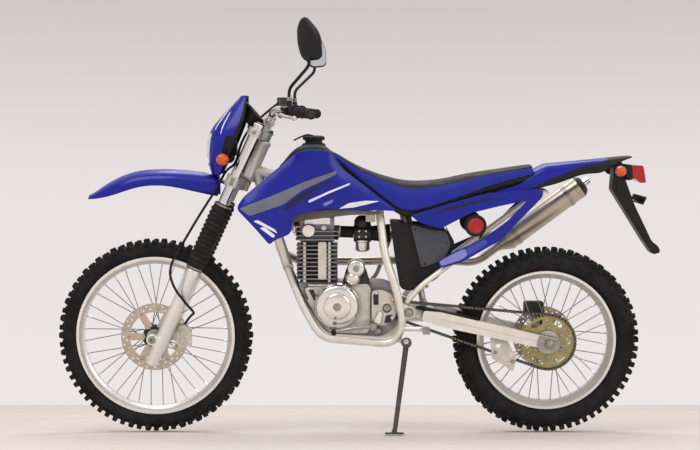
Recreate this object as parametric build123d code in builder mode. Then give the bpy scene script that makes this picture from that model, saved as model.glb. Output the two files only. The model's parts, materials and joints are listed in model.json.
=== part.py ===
from build123d import *
import os
from collections import namedtuple
from math import atan2, cos, degrees, pi, radians, sin, tan

# A 200 cc trail bike with motocross bodywork, parked on its side stand. Lengths are in millimetres.
# Everything is drawn upright: X forward, Y to the rider's left, Z up, with the origin on the
# floor midway between the axles. The last section leans the whole bike onto its stand.

# Driving dimensions
WHEELBASE = 1400
LEAN = 9.5  # degrees to the left, on the side stand
RAKE = 24.5  # degrees, fork legs back from vertical
FIT = 0.3  # gap between pieces that seat on each other
SHAFT_GAP = 0.1  # gap between a shaft and the bore it turns in
PLASTIC = 4  # wall of a moulded panel

# Wheels: one row each
Wheel = namedtuple(
    "Wheel",
    "axle_x tip_r tyre_half seat_half side_r crown_half crown_r rim_r rim_half rim_inner_r"
    " pitches lug_length lug_width shoulder_y shoulder_r shoulder_tilt",
)
FRONT = Wheel(
    WHEELBASE / 2, 349, 41, 19, 315, 27, 337, 281, 23, 258,
    26, 24, 42, 28, 321, 42,
)
REAR = Wheel(
    -WHEELBASE / 2, 334, 55, 26, 288, 38, 318, 246, 32, 222,
    24, 28, 54, 36, 298, 40,
)
LUG_DEPTH = 20  # radial size of a tread lug, part of it sunk in the carcass
SHOULDER_WIDTH = 20
RIM_LIP = 8
DISC_FLATS = 36
RIM_INNER_SHARE = 0.5  # width of the rim's inner face against its outer one
SPOKES_A_SIDE = 18
SPOKE_R = 2
SPOKE_FLATS = 4
HUB_FLATS = 16
SPOKE_LEAD = 34  # degrees that a spoke leads or trails between flange and rim

AXLE_R = 8.5
FRONT_AXLE = Vector(FRONT.axle_x, 0, FRONT.tip_r)
REAR_AXLE = Vector(REAR.axle_x, 0, REAR.tip_r)

# Fork, measured along the legs from the front axle: u forward, v left, w up the leg
AXLE_LEAD = 32  # the axle stands ahead of the legs by this
CLAMP_OFFSET = 34  # the legs stand ahead of the steering axis by this
FORK_HALF = 95
SLIDER_R, TUBE_R, BOOT_R = 26, 20.5, 35
SLIDER_BOTTOM, SLIDER_TOP = -88, 286
BOOT_TOP = 540
LOWER_CLAMP, UPPER_CLAMP = 607, 800  # undersides
LOWER_THICK, UPPER_THICK = 38, 28
TUBE_TOP = 846
STEM_R = 15
HEAD_R = 29
LEG_U = -AXLE_LEAD
STEER_U = -AXLE_LEAD - CLAMP_OFFSET
FORK = Plane(
    origin=FRONT_AXLE,
    x_dir=(cos(radians(RAKE)), 0, sin(radians(RAKE))),
    z_dir=(-sin(radians(RAKE)), 0, cos(radians(RAKE))),
)
STEERING_AXIS = Axis(FORK.from_local_coords(Vector(STEER_U, 0, LOWER_CLAMP)), FORK.z_dir)

# Handlebar, left half, in bike coordinates
BAR_R = 11
BAR_CLAMP_HALF = 72
BAR_CENTRE = Vector(290, 0, 1114)
BAR_BEND = Vector(262, 150, 1160)
BAR_END = Vector(130, 405, 1142)
GRIP_LENGTH, GRIP_R = 122, 17
PERCH_FROM_END, RESERVOIR_FROM_END = 158, 188

# Chassis
PIVOT = Vector(-205, 0, 446)  # swingarm pivot
PIVOT_R = 17
PIVOT_SHAFT_R = 8
BACKBONE_R, DOWN_TUBE_R, CRADLE_R, SUBFRAME_R = 20, 19, 14, 10
UPRIGHT_Y = 112
ARM_IN, ARM_OUT, ARM_HALF_HEIGHT = 89, 117, 25
ARM_TAIL = 38  # swingarm length behind the axle

# Drive
CHAIN_Y = 74
CHAIN_PITCH = 12.7
REAR_TEETH, FRONT_TEETH = 48, 13
CHAIN_HALF_WIDTH, CHAIN_HALF_HEIGHT = 8.5, 6
COUNTERSHAFT = Vector(-128, CHAIN_Y, 458)
REAR_PITCH_R = CHAIN_PITCH / 2 / sin(pi / REAR_TEETH)
FRONT_PITCH_R = CHAIN_PITCH / 2 / sin(pi / FRONT_TEETH)

# Side stand
STAND_PIVOT = Vector(-196, 128, 340)
STAND_FOOT_X, STAND_FOOT_Y = -150, 262
STAND_STOWED = Vector(-330, 52, 4)  # direction of the leg when it is folded back
STAND_R = 10
STAND_LUG, STAND_LUG_R, STAND_PIN_R = 14, 18, 6
STAND_FOOT = Vector(STAND_FOOT_X, STAND_FOOT_Y, STAND_FOOT_Y * tan(radians(LEAN)))
STAND_AXIS = (STAND_FOOT - STAND_PIVOT).cross(STAND_STOWED).normalized()
STAND_SWING = (STAND_FOOT - STAND_PIVOT).get_angle(STAND_STOWED)
PEG = Vector(-262, 135, 388)
FLOOR = Plane(origin=(0, 0, 0), x_dir=(1, 0, 0), z_dir=(0, -sin(radians(LEAN)), cos(radians(LEAN))))


def flip(point):
    """The same point on the other side of the bike."""
    point = Vector(point)
    return Vector(point.X, -point.Y, point.Z)


def sides(radius):
    """How many flats make a section of this radius read as round."""
    return 8 if radius < 9 else 12 if radius < 24 else 16 if radius < 60 else 24


def eased(points, cut):
    """A route with each corner cut into two, so that a tube turns in easy steps."""
    points = [Vector(p) for p in points]
    route = [points[0]]
    for before, corner, after in zip(points, points[1:], points[2:]):
        for neighbour in (before, after):
            reach = neighbour - corner
            route.append(corner + reach.normalized() * min(cut, 0.4 * reach.length))
    return route + [points[-1]]


def pipe(points, cut, radius, flats=None):
    """A tube along straight runs whose corners are eased by a cut of this length."""
    with BuildPart() as run:
        with BuildLine() as path:
            Polyline(*eased(points, cut))
        with BuildSketch(Plane(origin=path.line @ 0, z_dir=path.line % 0)):
            RegularPolygon(radius, flats or sides(radius))
        sweep(transition=Transition.RIGHT)
    return run.part


def frustum(plane, radius, end_radius, length, flats):
    """A tapering polygonal bar that stands with its wider end on a plane."""
    with BuildPart() as bar:
        with BuildSketch():
            RegularPolygon(radius, flats, rotation=180 / flats)
        shrink = (radius - end_radius) * cos(pi / flats)
        extrude(amount=length, taper=degrees(atan2(shrink, length)))
    return bar.part.moved(plane.location)


def rod(start, end, radius, end_radius=None):
    """A straight bar, or a taper, between two points."""
    start, end = Vector(start), Vector(end)
    end_radius = end_radius or radius
    if end_radius > radius:
        return rod(end, start, end_radius, radius)
    along = end - start
    return frustum(Plane(origin=start, z_dir=along), radius, end_radius, along.length, sides(radius))


def bore(start, end, radius):
    """A true round hole's volume between two points."""
    start, end = Vector(start), Vector(end)
    with BuildPart() as hole:
        with BuildSketch(Plane(origin=start, z_dir=end - start)):
            Circle(radius)
        extrude(amount=(end - start).length)
    return hole.part


def cross_bore(centre, half, radius):
    """A true round hole's volume across the bike, this far to each side of a point."""
    return bore(centre - Vector(0, half, 0), centre + Vector(0, half, 0), radius)


def barrel(axle, sections, flats):
    """A body on a lateral axle through (y, radius) sections, each a polygon of this many flats."""
    with BuildPart() as body:
        for (low, low_r), (high, high_r) in zip(sections, sections[1:]):
            start, facing = (low, 1) if low_r >= high_r else (high, -1)
            plane = Plane(Vector(axle.X, start, axle.Z), x_dir=(1, 0, 0), z_dir=(0, facing, 0))
            add(frustum(plane, max(low_r, high_r), min(low_r, high_r), high - low, flats))
    return body.part


def outline_wire(outline, corner):
    """A closed outline, with its corners rounded if a radius is given."""
    with BuildLine() as line:
        if corner:
            FilletPolyline(*outline, radius=corner, close=True)
        else:
            Polyline(*outline, close=True)
    return line.line


def side_slab(outline, corner, y_low, y_high):
    """A side-view outline of (x, z) points with rounded corners, extruded across the bike."""
    with BuildPart() as slab:
        with BuildSketch(Plane.XZ.offset(-y_low)):
            make_face(outline_wire(outline, corner).edges())
        extrude(amount=y_low - y_high)
    return slab.part


def plan_slab(outline, corner, z_low, z_high):
    """A plan-view outline of (x, y) points with rounded corners, extruded upward."""
    with BuildPart() as slab:
        with BuildSketch(Plane.XY.offset(z_low)):
            make_face(outline_wire(outline, corner).edges())
        extrude(amount=z_high - z_low)
    return slab.part


def front_slab(outline, corner, x_low, x_high):
    """A front-view outline of (y, z) points with rounded corners, extruded along the bike."""
    with BuildPart() as slab:
        with BuildSketch(Plane.YZ.offset(x_low)):
            make_face(outline_wire(outline, corner).edges())
        extrude(amount=x_high - x_low)
    return slab.part


def both_halves(outline):
    """A closed plan or front outline from its left half, listed from one end to the other."""
    return [(a, b) for a, b in outline] + [(a, -b) for a, b in reversed(outline)]


PARTS = {}


# Wheels


def wheel_plane(axle, y=0):
    """Sketch plane of a wheel, seen from the rider's left."""
    return Plane(origin=Vector(axle.X, y, axle.Z), x_dir=(1, 0, 0), z_dir=(0, 1, 0))


def both_sides(half):
    """Sections of a symmetric wheel part from right to left, given from its middle outward."""
    return [(-y, r) for y, r in reversed(half)] + half


def lug_plane(axle, angle, y, root_r, tilt):
    """Sketch plane at the root of a tread lug: local x runs round the tyre, z points out of it."""
    outward = Vector(cos(angle), 0, sin(angle))
    origin = Vector(axle.X, y, axle.Z) + outward * root_r
    up = outward * cos(radians(tilt)) + Vector(0, sin(radians(tilt)), 0)
    return Plane(origin, x_dir=(-sin(angle), 0, cos(angle)), z_dir=up)


def make_tyre(wheel, axle):
    seat = wheel.rim_r + FIT
    flats = 2 * wheel.pitches
    flare = (wheel.side_r - seat) / (wheel.tyre_half - wheel.seat_half)
    outside = [(wheel.crown_half, wheel.crown_r), (wheel.tyre_half, wheel.side_r)]
    inside = [(wheel.seat_half, seat), (wheel.tyre_half + 5, wheel.side_r + 5 * flare)]
    pitch = 2 * pi / wheel.pitches
    with BuildPart() as tyre:
        add(barrel(axle, both_sides(outside), flats))
        add(barrel(axle, both_sides(inside), flats), mode=Mode.SUBTRACT)
        for i in range(wheel.pitches):
            with BuildSketch(lug_plane(axle, i * pitch, 0, wheel.tip_r - LUG_DEPTH, 0)):
                Rectangle(wheel.lug_length, wheel.lug_width)
            for side in (1, -1):
                y, tilt = side * wheel.shoulder_y, side * wheel.shoulder_tilt
                with BuildSketch(lug_plane(axle, (i + 0.5) * pitch, y, wheel.shoulder_r, tilt)):
                    Rectangle(wheel.lug_length, SHOULDER_WIDTH)
        extrude(amount=LUG_DEPTH)
    return tyre.part


def make_rim(wheel, axle):
    inner = wheel.rim_half * RIM_INNER_SHARE
    slope = (wheel.rim_r - RIM_LIP - wheel.rim_inner_r) / (wheel.rim_half - inner)
    hollow = [(inner, wheel.rim_inner_r), (wheel.rim_half + 5, wheel.rim_r - RIM_LIP + 5 * slope)]
    flats = 2 * wheel.pitches
    with BuildPart() as rim:
        add(barrel(axle, both_sides([(wheel.rim_half, wheel.rim_r)]), flats))
        add(barrel(axle, both_sides(hollow), flats), mode=Mode.SUBTRACT)
    return rim.part


def spoke_ends(wheel, axle, flange_r, flange_y):
    """Hub and rim end of every spoke: on each side half of them lead and half trail."""
    radii = flange_r, wheel.rim_inner_r * cos(pi / 2 / wheel.pitches) - 4 * FIT
    for side in (1, -1):
        for i in range(SPOKES_A_SIDE):
            turn = 1 if i % 2 else -1
            start = 360 / SPOKES_A_SIDE * (i + 0.25 * side)
            angles = radians(start), radians(start + turn * SPOKE_LEAD)
            hub_y = side * (flange_y + turn * 1.2 * SPOKE_R)
            rim_y = side * wheel.rim_half * RIM_INNER_SHARE * 0.4
            yield tuple(
                Vector(axle.X + r * cos(a), y, axle.Z + r * sin(a))
                for r, a, y in zip(radii, angles, (hub_y, rim_y))
            )


def make_hub(wheel, axle, steps, flange_r, flange_y):
    """Stepped hub, as (from y, to y, radius) rows, with its spokes laced into the two flanges."""
    with BuildPart() as hub:
        for low, high, radius in steps:
            add(barrel(axle, [(low, radius), (high, radius)], HUB_FLATS))
        for start, end in spoke_ends(wheel, axle, flange_r, flange_y):
            with BuildSketch(Plane(origin=start, z_dir=end - start)):
                RegularPolygon(SPOKE_R, SPOKE_FLATS)
        extrude(amount=(end - start).length)
        add(cross_bore(axle, 200, AXLE_R + SHAFT_GAP), mode=Mode.SUBTRACT)
    return hub.part


def make_disc(axle, y, outer_r, ring_r, boss_r, bore_r, arms, thickness):
    """Brake disc: a ring carried by arms on a bolted centre."""
    with BuildPart() as disc:
        with BuildSketch(wheel_plane(axle, y)):
            RegularPolygon(outer_r, DISC_FLATS)
            RegularPolygon(ring_r, DISC_FLATS, mode=Mode.SUBTRACT)
            with PolarLocations((ring_r + boss_r) / 2 - 1, arms):
                Rectangle(ring_r - boss_r + 8, 15)
            RegularPolygon(boss_r, HUB_FLATS)
            RegularPolygon(bore_r, HUB_FLATS, rotation=180 / HUB_FLATS, mode=Mode.SUBTRACT)
        extrude(amount=thickness)
    return disc.part


FLANGE_F_R, FLANGE_F_Y = 33, 29
FRONT_DISC_Y, DISC_THICK = 46, 4
DISC_BORE_R = 29
PARTS["front_tyre"] = make_tyre(FRONT, FRONT_AXLE)
PARTS["front_rim"] = make_rim(FRONT, FRONT_AXLE)
PARTS["front_hub"] = make_hub(
    FRONT,
    FRONT_AXLE,
    [
        (-36, 56, 24), (-33, -25, FLANGE_F_R + 5), (25, 33, FLANGE_F_R + 5), (40, FRONT_DISC_Y - FIT, 44),
        (33, 56, DISC_BORE_R - FIT),
    ],
    FLANGE_F_R,
    FLANGE_F_Y,
)
PARTS["front_disc"] = make_disc(FRONT_AXLE, FRONT_DISC_Y, 120, 88, 43, DISC_BORE_R, 6, DISC_THICK)

FLANGE_R_R, FLANGE_R_Y = 40, 34
SPROCKET_THICK = 6
SPROCKET_Y = CHAIN_Y - SPROCKET_THICK / 2
SPROCKET_BORE_R = 42
REAR_DISC_Y = -66
PARTS["rear_tyre"] = make_tyre(REAR, REAR_AXLE)
PARTS["rear_rim"] = make_rim(REAR, REAR_AXLE)
PARTS["rear_hub"] = make_hub(
    REAR,
    REAR_AXLE,
    [
        (-72, 52, DISC_BORE_R - FIT), (REAR_DISC_Y + DISC_THICK + FIT, -50, 46), (-38, -30, FLANGE_R_R + 6),
        (30, 38, FLANGE_R_R + 6), (52, SPROCKET_Y - FIT, 56), (38, 80, SPROCKET_BORE_R - FIT),
    ],
    FLANGE_R_R,
    FLANGE_R_Y,
)
PARTS["rear_disc"] = make_disc(REAR_AXLE, REAR_DISC_Y, 110, 82, 45, DISC_BORE_R, 6, DISC_THICK)

TOOTH_TIP_R, TOOTH_ROOT_R = REAR_PITCH_R + 3, REAR_PITCH_R - 5
SPROCKET_WINDOWS = 6
tooth_pitch = 2 * pi / REAR_TEETH
tooth_corners = [(TOOTH_ROOT_R, -0.30), (TOOTH_TIP_R, -0.12), (TOOTH_TIP_R, 0.12), (TOOTH_ROOT_R, 0.30)]
tooth_points = [
    (r * cos((i + share) * tooth_pitch), r * sin((i + share) * tooth_pitch))
    for i in range(REAR_TEETH)
    for r, share in tooth_corners
]
with BuildPart() as rear_sprocket:
    with BuildSketch(wheel_plane(REAR_AXLE, SPROCKET_Y)):
        with BuildLine():
            Polyline(*tooth_points, close=True)
        make_face()
        RegularPolygon(SPROCKET_BORE_R, HUB_FLATS, rotation=180 / HUB_FLATS, mode=Mode.SUBTRACT)
        with PolarLocations(70, SPROCKET_WINDOWS):
            Trapezoid(30, 20, 68, rotation=90, mode=Mode.SUBTRACT)
    extrude(amount=SPROCKET_THICK)
PARTS["rear_sprocket"] = rear_sprocket.part

# Fork and steering

with BuildPart() as fork_sliders:
    with BuildSketch(FORK.offset(SLIDER_BOTTOM)):
        with Locations((LEG_U, FORK_HALF), (LEG_U, -FORK_HALF)):
            RegularPolygon(SLIDER_R - 3, sides(SLIDER_R))
    extrude(amount=60)
    with BuildSketch(FORK.offset(SLIDER_BOTTOM + 60)):
        with Locations((LEG_U, FORK_HALF), (LEG_U, -FORK_HALF)):
            RegularPolygon(SLIDER_R, sides(SLIDER_R))
    extrude(amount=SLIDER_TOP - SLIDER_BOTTOM - 60)
    for side in (1, -1):
        with BuildSketch(Plane(FORK.origin, x_dir=FORK.x_dir, z_dir=(0, side, 0)).offset(FORK_HALF - 16)):
            RegularPolygon(20, 12)
            with Locations((LEG_U / 2, 0)):
                Rectangle(AXLE_LEAD, 40)
        extrude(amount=44)
    with Locations(Location(FRONT_AXLE, (90, 0, 0))):
        Hole(AXLE_R + SHAFT_GAP, 300)
PARTS["fork_sliders"] = fork_sliders.part

with BuildPart() as fork_tubes:
    with BuildSketch(FORK.offset(SLIDER_TOP)):
        with Locations((LEG_U, FORK_HALF), (LEG_U, -FORK_HALF)):
            RegularPolygon(TUBE_R, sides(TUBE_R))
    extrude(amount=TUBE_TOP - SLIDER_TOP)
PARTS["fork_tubes"] = fork_tubes.part

LEGS = [(LEG_U, FORK_HALF), (LEG_U, -FORK_HALF)]
boot_steps = [
    (SLIDER_TOP + FIT, SLIDER_R + 4), (SLIDER_TOP + 40, BOOT_R), (BOOT_TOP - 36, BOOT_R),
    (BOOT_TOP, SLIDER_R + 2),
]
with BuildPart() as fork_boots:
    for _, v in LEGS:
        for (low, low_r), (high, high_r) in zip(boot_steps, boot_steps[1:]):
            ends = [FORK.from_local_coords(Vector(LEG_U, v, w)) for w in (low, high)]
            add(rod(*ends, low_r, high_r))
        ends = [FORK.from_local_coords(Vector(LEG_U, v, w)) for w in (SLIDER_TOP - 10, BOOT_TOP + 10)]
        add(rod(*ends, TUBE_R + 1), mode=Mode.SUBTRACT)
PARTS["fork_boots"] = fork_boots.part

clamp_half = [
    (STEER_U - 20, 14), (STEER_U - 8, 32), (LEG_U - 26, FORK_HALF + 14), (LEG_U - 14, FORK_HALF + 32),
    (LEG_U + 14, FORK_HALF + 32), (LEG_U + 30, FORK_HALF + 10), (LEG_U + 28, FORK_HALF - 16), (LEG_U + 2, 34),
]
with BuildPart() as triple_clamps:
    for base, thick in ((LOWER_CLAMP, LOWER_THICK), (UPPER_CLAMP, UPPER_THICK)):
        with BuildSketch(FORK.offset(base)):
            with BuildLine():
                Polyline(*clamp_half, *[(u, -v) for u, v in reversed(clamp_half)], close=True)
            make_face()
            with Locations((LEG_U, FORK_HALF), (LEG_U, -FORK_HALF)):
                RegularPolygon(TUBE_R + FIT, sides(TUBE_R), mode=Mode.SUBTRACT)
        extrude(amount=thick)
    with BuildSketch(FORK.offset(LOWER_CLAMP)):
        with Locations((STEER_U, 0)):
            RegularPolygon(STEM_R, sides(STEM_R))
    extrude(amount=UPPER_CLAMP + UPPER_THICK + 12 - LOWER_CLAMP)
    for side in (1, -1):
        riser_foot = FORK.from_local_coords(Vector(STEER_U + 8, side * 30, UPPER_CLAMP + UPPER_THICK / 2))
        riser_head = Vector(BAR_CENTRE.X, side * 30, BAR_CENTRE.Z)
        add(rod(riser_foot, riser_head + FORK.z_dir * 14, 14))
    add(cross_bore(BAR_CENTRE, 64, BAR_R + SHAFT_GAP), mode=Mode.SUBTRACT)
PARTS["triple_clamps"] = triple_clamps.part

bar_half = [Vector(BAR_CENTRE.X, BAR_CLAMP_HALF, BAR_CENTRE.Z), BAR_BEND, BAR_END]
bar_route = [flip(p) for p in reversed(bar_half)] + bar_half
grip_direction = (BAR_END - BAR_BEND).normalized()
CROSSBAR_SHARE = 0.62  # height of the crossbar up the rising part of the bar
cross_end = bar_half[0] + (BAR_BEND - bar_half[0]) * CROSSBAR_SHARE
with BuildPart() as handlebar:
    add(pipe(bar_route, 20, BAR_R, flats=8))
    add(rod(flip(cross_end), cross_end, 6))
PARTS["handlebar"] = handlebar.part

with BuildPart() as hand_controls:
    for side in (1, -1):
        along = Vector(grip_direction.X, side * grip_direction.Y, grip_direction.Z)
        end = Vector(BAR_END.X, side * BAR_END.Y, BAR_END.Z)
        inner = end - along * GRIP_LENGTH
        perch = end - along * PERCH_FROM_END
        ahead = Vector(0.85, side * 0.42, -0.25).normalized()
        lever_root = perch + ahead * 42
        lever_tip = end + ahead * 58 - along * 12
        add(rod(inner, end + along * 3, GRIP_R))
        add(rod(inner - along * 1, inner + along * 6, GRIP_R + 7))
        add(rod(perch - along * 34, perch + along * 18, 19))
        add(rod(perch, lever_root, 13))
        add(rod(lever_root, lever_tip, 7, 5.5))
        add(rod(perch - along * 14, perch - along * 14 + Vector(0, 0, 34), 9))
        add(bore(end - along * 220, end + along * 1, BAR_R + SHAFT_GAP), mode=Mode.SUBTRACT)
    reservoir = flip(BAR_END - grip_direction * RESERVOIR_FROM_END)
    with Locations(Location(reservoir + Vector(30, 0, 31), (0, 0, 25))):
        Box(38, 56, 36)
PARTS["hand_controls"] = hand_controls.part

MIRROR_CENTRE = Vector(132, 372, 1384)
MIRROR_TURN = 48  # degrees that the glass is turned from facing straight back
leaf = [
    (-50, -6), (-34, -36), (10, -76), (26, -78), (44, -66), (56, -40), (56, 8), (42, 52), (22, 68), (-36, 64),
    (-52, 52),
]
with BuildPart() as leaf_blank:
    with BuildSketch():
        with BuildLine():
            Polyline(*leaf, close=True)
        make_face()
    extrude(amount=16, taper=24)
with BuildPart() as mirrors:
    for side in (1, -1):
        perch = BAR_END - grip_direction * (PERCH_FROM_END + 14)
        stem_foot = Vector(perch.X, side * perch.Y, perch.Z + 34 + FIT)
        centre = Vector(MIRROR_CENTRE.X, side * MIRROR_CENTRE.Y, MIRROR_CENTRE.Z)
        facing = Vector(-cos(radians(MIRROR_TURN)), -side * sin(radians(MIRROR_TURN)), 0.05)
        across = Vector(0, 0, 1).cross(facing)
        add(leaf_blank.part.moved(Plane(centre, x_dir=across * side, z_dir=-facing).location))
        neck = centre - Vector(0, 0, 52) - facing * 8
        add(pipe([stem_foot, stem_foot + Vector(0, 0, 40), neck - Vector(0, 0, 30), neck], 14, 6, flats=6))
PARTS["mirrors"] = mirrors.part

# Front bodywork

COWL_HALF = 104
cowl_side = [
    (366, 1206), (402, 1198), (506, 1080), (512, 1000), (504, 934), (462, 930), (430, 985), (398, 1060),
    (370, 1130),
]
cowl_front = [
    (0, 1214), (52, 1206), (78, 1150), (COWL_HALF, 1085), (COWL_HALF - 4, 1020), (66, 926), (0, 922),
]
cowl_plan = [(350, COWL_HALF + 8), (440, COWL_HALF + 4), (498, 62), (514, 0)]


def cowl_blank(inset):
    """The headlight mask as a block: its side, front and plan outlines together."""
    side = [(x - inset * 1.6, z) for x, z in cowl_side]
    front = [(max(0, y - inset), z - (inset if z > 1000 else -inset)) for y, z in cowl_front]
    plan = [(x - inset * 1.2, max(0, y - inset)) for x, y in cowl_plan]
    mirrored_front = front + [(-y, z) for y, z in reversed(front[1:-1])]
    mirrored_plan = plan + [(x, -y) for x, y in reversed(plan[:-1])]
    with BuildPart() as blank:
        add(side_slab(side, 0, -COWL_HALF - 10, COWL_HALF + 10))
        add(front_slab(mirrored_front, 0, 300, 560), mode=Mode.INTERSECT)
        add(plan_slab(mirrored_plan, 0, 880, 1240), mode=Mode.INTERSECT)
    return blank.part


LAMP_HALF, LAMP_LOW, LAMP_HIGH = 66, 966, 1072
LAMP_FRONT, LAMP_BACK = 518, 405
LAMP_CORNER = 12
LAMP_GAP = 0.5  # all round the lamp, where it shows through the mask


def lamp_outline(gap):
    """Front view of the lamp, grown by a gap on every side."""
    foot, top = LAMP_HALF - 14 + gap, LAMP_HALF + gap
    low, high = LAMP_LOW - gap, LAMP_HIGH + gap
    return [(-foot, low), (foot, low), (top, high), (-top, high)]


STRAP_W = 742  # height of the mask's straps up the fork
with BuildPart() as headlight_cowl:
    add(cowl_blank(0))
    add(cowl_blank(PLASTIC), mode=Mode.SUBTRACT)
    add(front_slab(lamp_outline(LAMP_GAP), LAMP_CORNER, 470, 560), mode=Mode.SUBTRACT)
    for side in (1, -1):
        strap = [Vector(u, side * (FORK_HALF - 3), STRAP_W) for u in (LEG_U + TUBE_R + FIT, 48)]
        add(rod(*[FORK.from_local_coords(p) for p in strap], 8))
PARTS["headlight_cowl"] = headlight_cowl.part

with BuildPart() as headlight:
    add(front_slab(lamp_outline(0), LAMP_CORNER, 440, LAMP_FRONT))
    add(rod((440, 0, 1020), (LAMP_BACK, 0, 1020), 44, 24))
PARTS["headlight"] = headlight.part

with BuildPart() as front_indicators:
    for side in (1, -1):
        add(rod((446, side * 70, 984), (446, side * 128, 984), 7))
        add(rod((446, side * 126, 984), (446, side * 166, 984), 22, 15))
    add(cowl_blank(-FIT), mode=Mode.SUBTRACT)
PARTS["front_indicators"] = front_indicators.part

GAUGE_CENTRE = Vector(338, 0, 1146)
GAUGE_R, GAUGE_BACK_R, GAUGE_DEPTH = 52, 40.5, 46
bracket_w = UPPER_CLAMP + UPPER_THICK / 2
bracket = [(LEG_U + 2 + FIT, bracket_w), (2, bracket_w), (2, UPPER_CLAMP + UPPER_THICK + 8)]
with BuildPart() as instruments:
    face = Plane(GAUGE_CENTRE, x_dir=(0, 1, 0), z_dir=(0.75, 0, -0.66))
    add(frustum(face, GAUGE_R, GAUGE_BACK_R, GAUGE_DEPTH, 12))
    add(pipe([FORK.from_local_coords(Vector(u, 0, w)) for u, w in bracket], 6, 8))
PARTS["instruments"] = instruments.part

FENDER_WALL = 3.5
fender_crown = [(934, 843), (880, 886), (805, 924), (740, 940), (656, 943), (575, 938), (470, 924)]
fender_skirt = [(470, 850), (567, 872), (627, 886), (690, 892), (754, 885), (865, 848)]
fender_plan = [(460, 52), (640, 68), (800, 72), (900, 50), (940, 18)]


def fender_blank(inset):
    """The front mudguard's outer form, or its hollow when inset by the wall."""
    crown = [(x, z - inset) for x, z in fender_crown]
    skirt = [(x, z - 40 * bool(inset)) for x, z in fender_skirt]
    plan = [(x, y - inset) for x, y in fender_plan]
    with BuildPart() as blank:
        add(side_slab(crown + skirt, (0, 60, 90, 120, 120, 80, 0, 0, 90, 120, 120, 90, 0), -90, 90))
        add(plan_slab(both_halves(plan), 0, 700, 1000), mode=Mode.INTERSECT)
    return blank.part


TONGUE_THICK, TONGUE_HALF = 8, 36  # flat by which the mudguard hangs under the lower clamp
with BuildPart() as front_fender:
    add(fender_blank(0))
    add(fender_blank(FENDER_WALL), mode=Mode.SUBTRACT)
    with BuildSketch(FORK.offset(LOWER_CLAMP - FIT - TONGUE_THICK)):
        with Locations((STEER_U + 24, 0)):
            Rectangle(36 - STEER_U, 2 * TONGUE_HALF, align=(Align.MIN, Align.CENTER))
    extrude(amount=TONGUE_THICK)
PARTS["front_fender"] = front_fender.part

with BuildPart() as front_axle:
    add(rod(FRONT_AXLE - Vector(0, 132, 0), FRONT_AXLE + Vector(0, 132, 0), AXLE_R))
    add(rod(FRONT_AXLE + Vector(0, 123 + FIT, 0), FRONT_AXLE + Vector(0, 132, 0), 14))
    add(rod(FRONT_AXLE - Vector(0, 132, 0), FRONT_AXLE - Vector(0, 123 + FIT, 0), 14))
    for low, high in ((56.5, 68.5), (-68.5, -36.5)):
        add(rod(FRONT_AXLE + Vector(0, low, 0), FRONT_AXLE + Vector(0, high, 0), 12))
PARTS["front_axle"] = front_axle.part

CALIPER_CLEAR = 2.5  # caliper jaws stand off the disc by this
caliper_jaw = [(-74, 40), (-112, 46), (-132, 20), (-132, -30), (-74, -42)]
caliper_lug = [(-80, 36), (-44, 34), (-44, 4), (-80, -10)]


def by_front_axle(outline):
    """A side-view outline measured from the front axle."""
    return [(FRONT_AXLE.X + x, FRONT_AXLE.Z + z) for x, z in outline]


with BuildPart() as front_caliper:
    add(side_slab(by_front_axle(caliper_jaw), 0, 34, 67))
    with BuildSketch(wheel_plane(FRONT_AXLE, FRONT_DISC_Y - CALIPER_CLEAR)):
        Circle(120 + CALIPER_CLEAR)
    extrude(amount=DISC_THICK + 2 * CALIPER_CLEAR, mode=Mode.SUBTRACT)
    add(side_slab(by_front_axle(caliper_lug), 0, FORK_HALF - SLIDER_R - 9, FORK_HALF - SLIDER_R - FIT))
PARTS["front_caliper"] = front_caliper.part

HOSE_R = 4.5
hose_route = [
    (268, -210, 1182), (356, -152, 1112), (398, -76, 1040), (414, -66, 962), (446, 6, 942), (464, 86, 892),
    (530, 104, 790), (590, 100, 690), (640, 114, 604), (624, 132, 540), (578, 136, 480), (548, 112, 442),
    (568, 64, 430), (590, 58, 397),
]
with BuildPart() as front_brake_hose:
    add(pipe(hose_route, 20, HOSE_R, flats=6))
PARTS["front_brake_hose"] = front_brake_hose.part

# Frame

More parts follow.
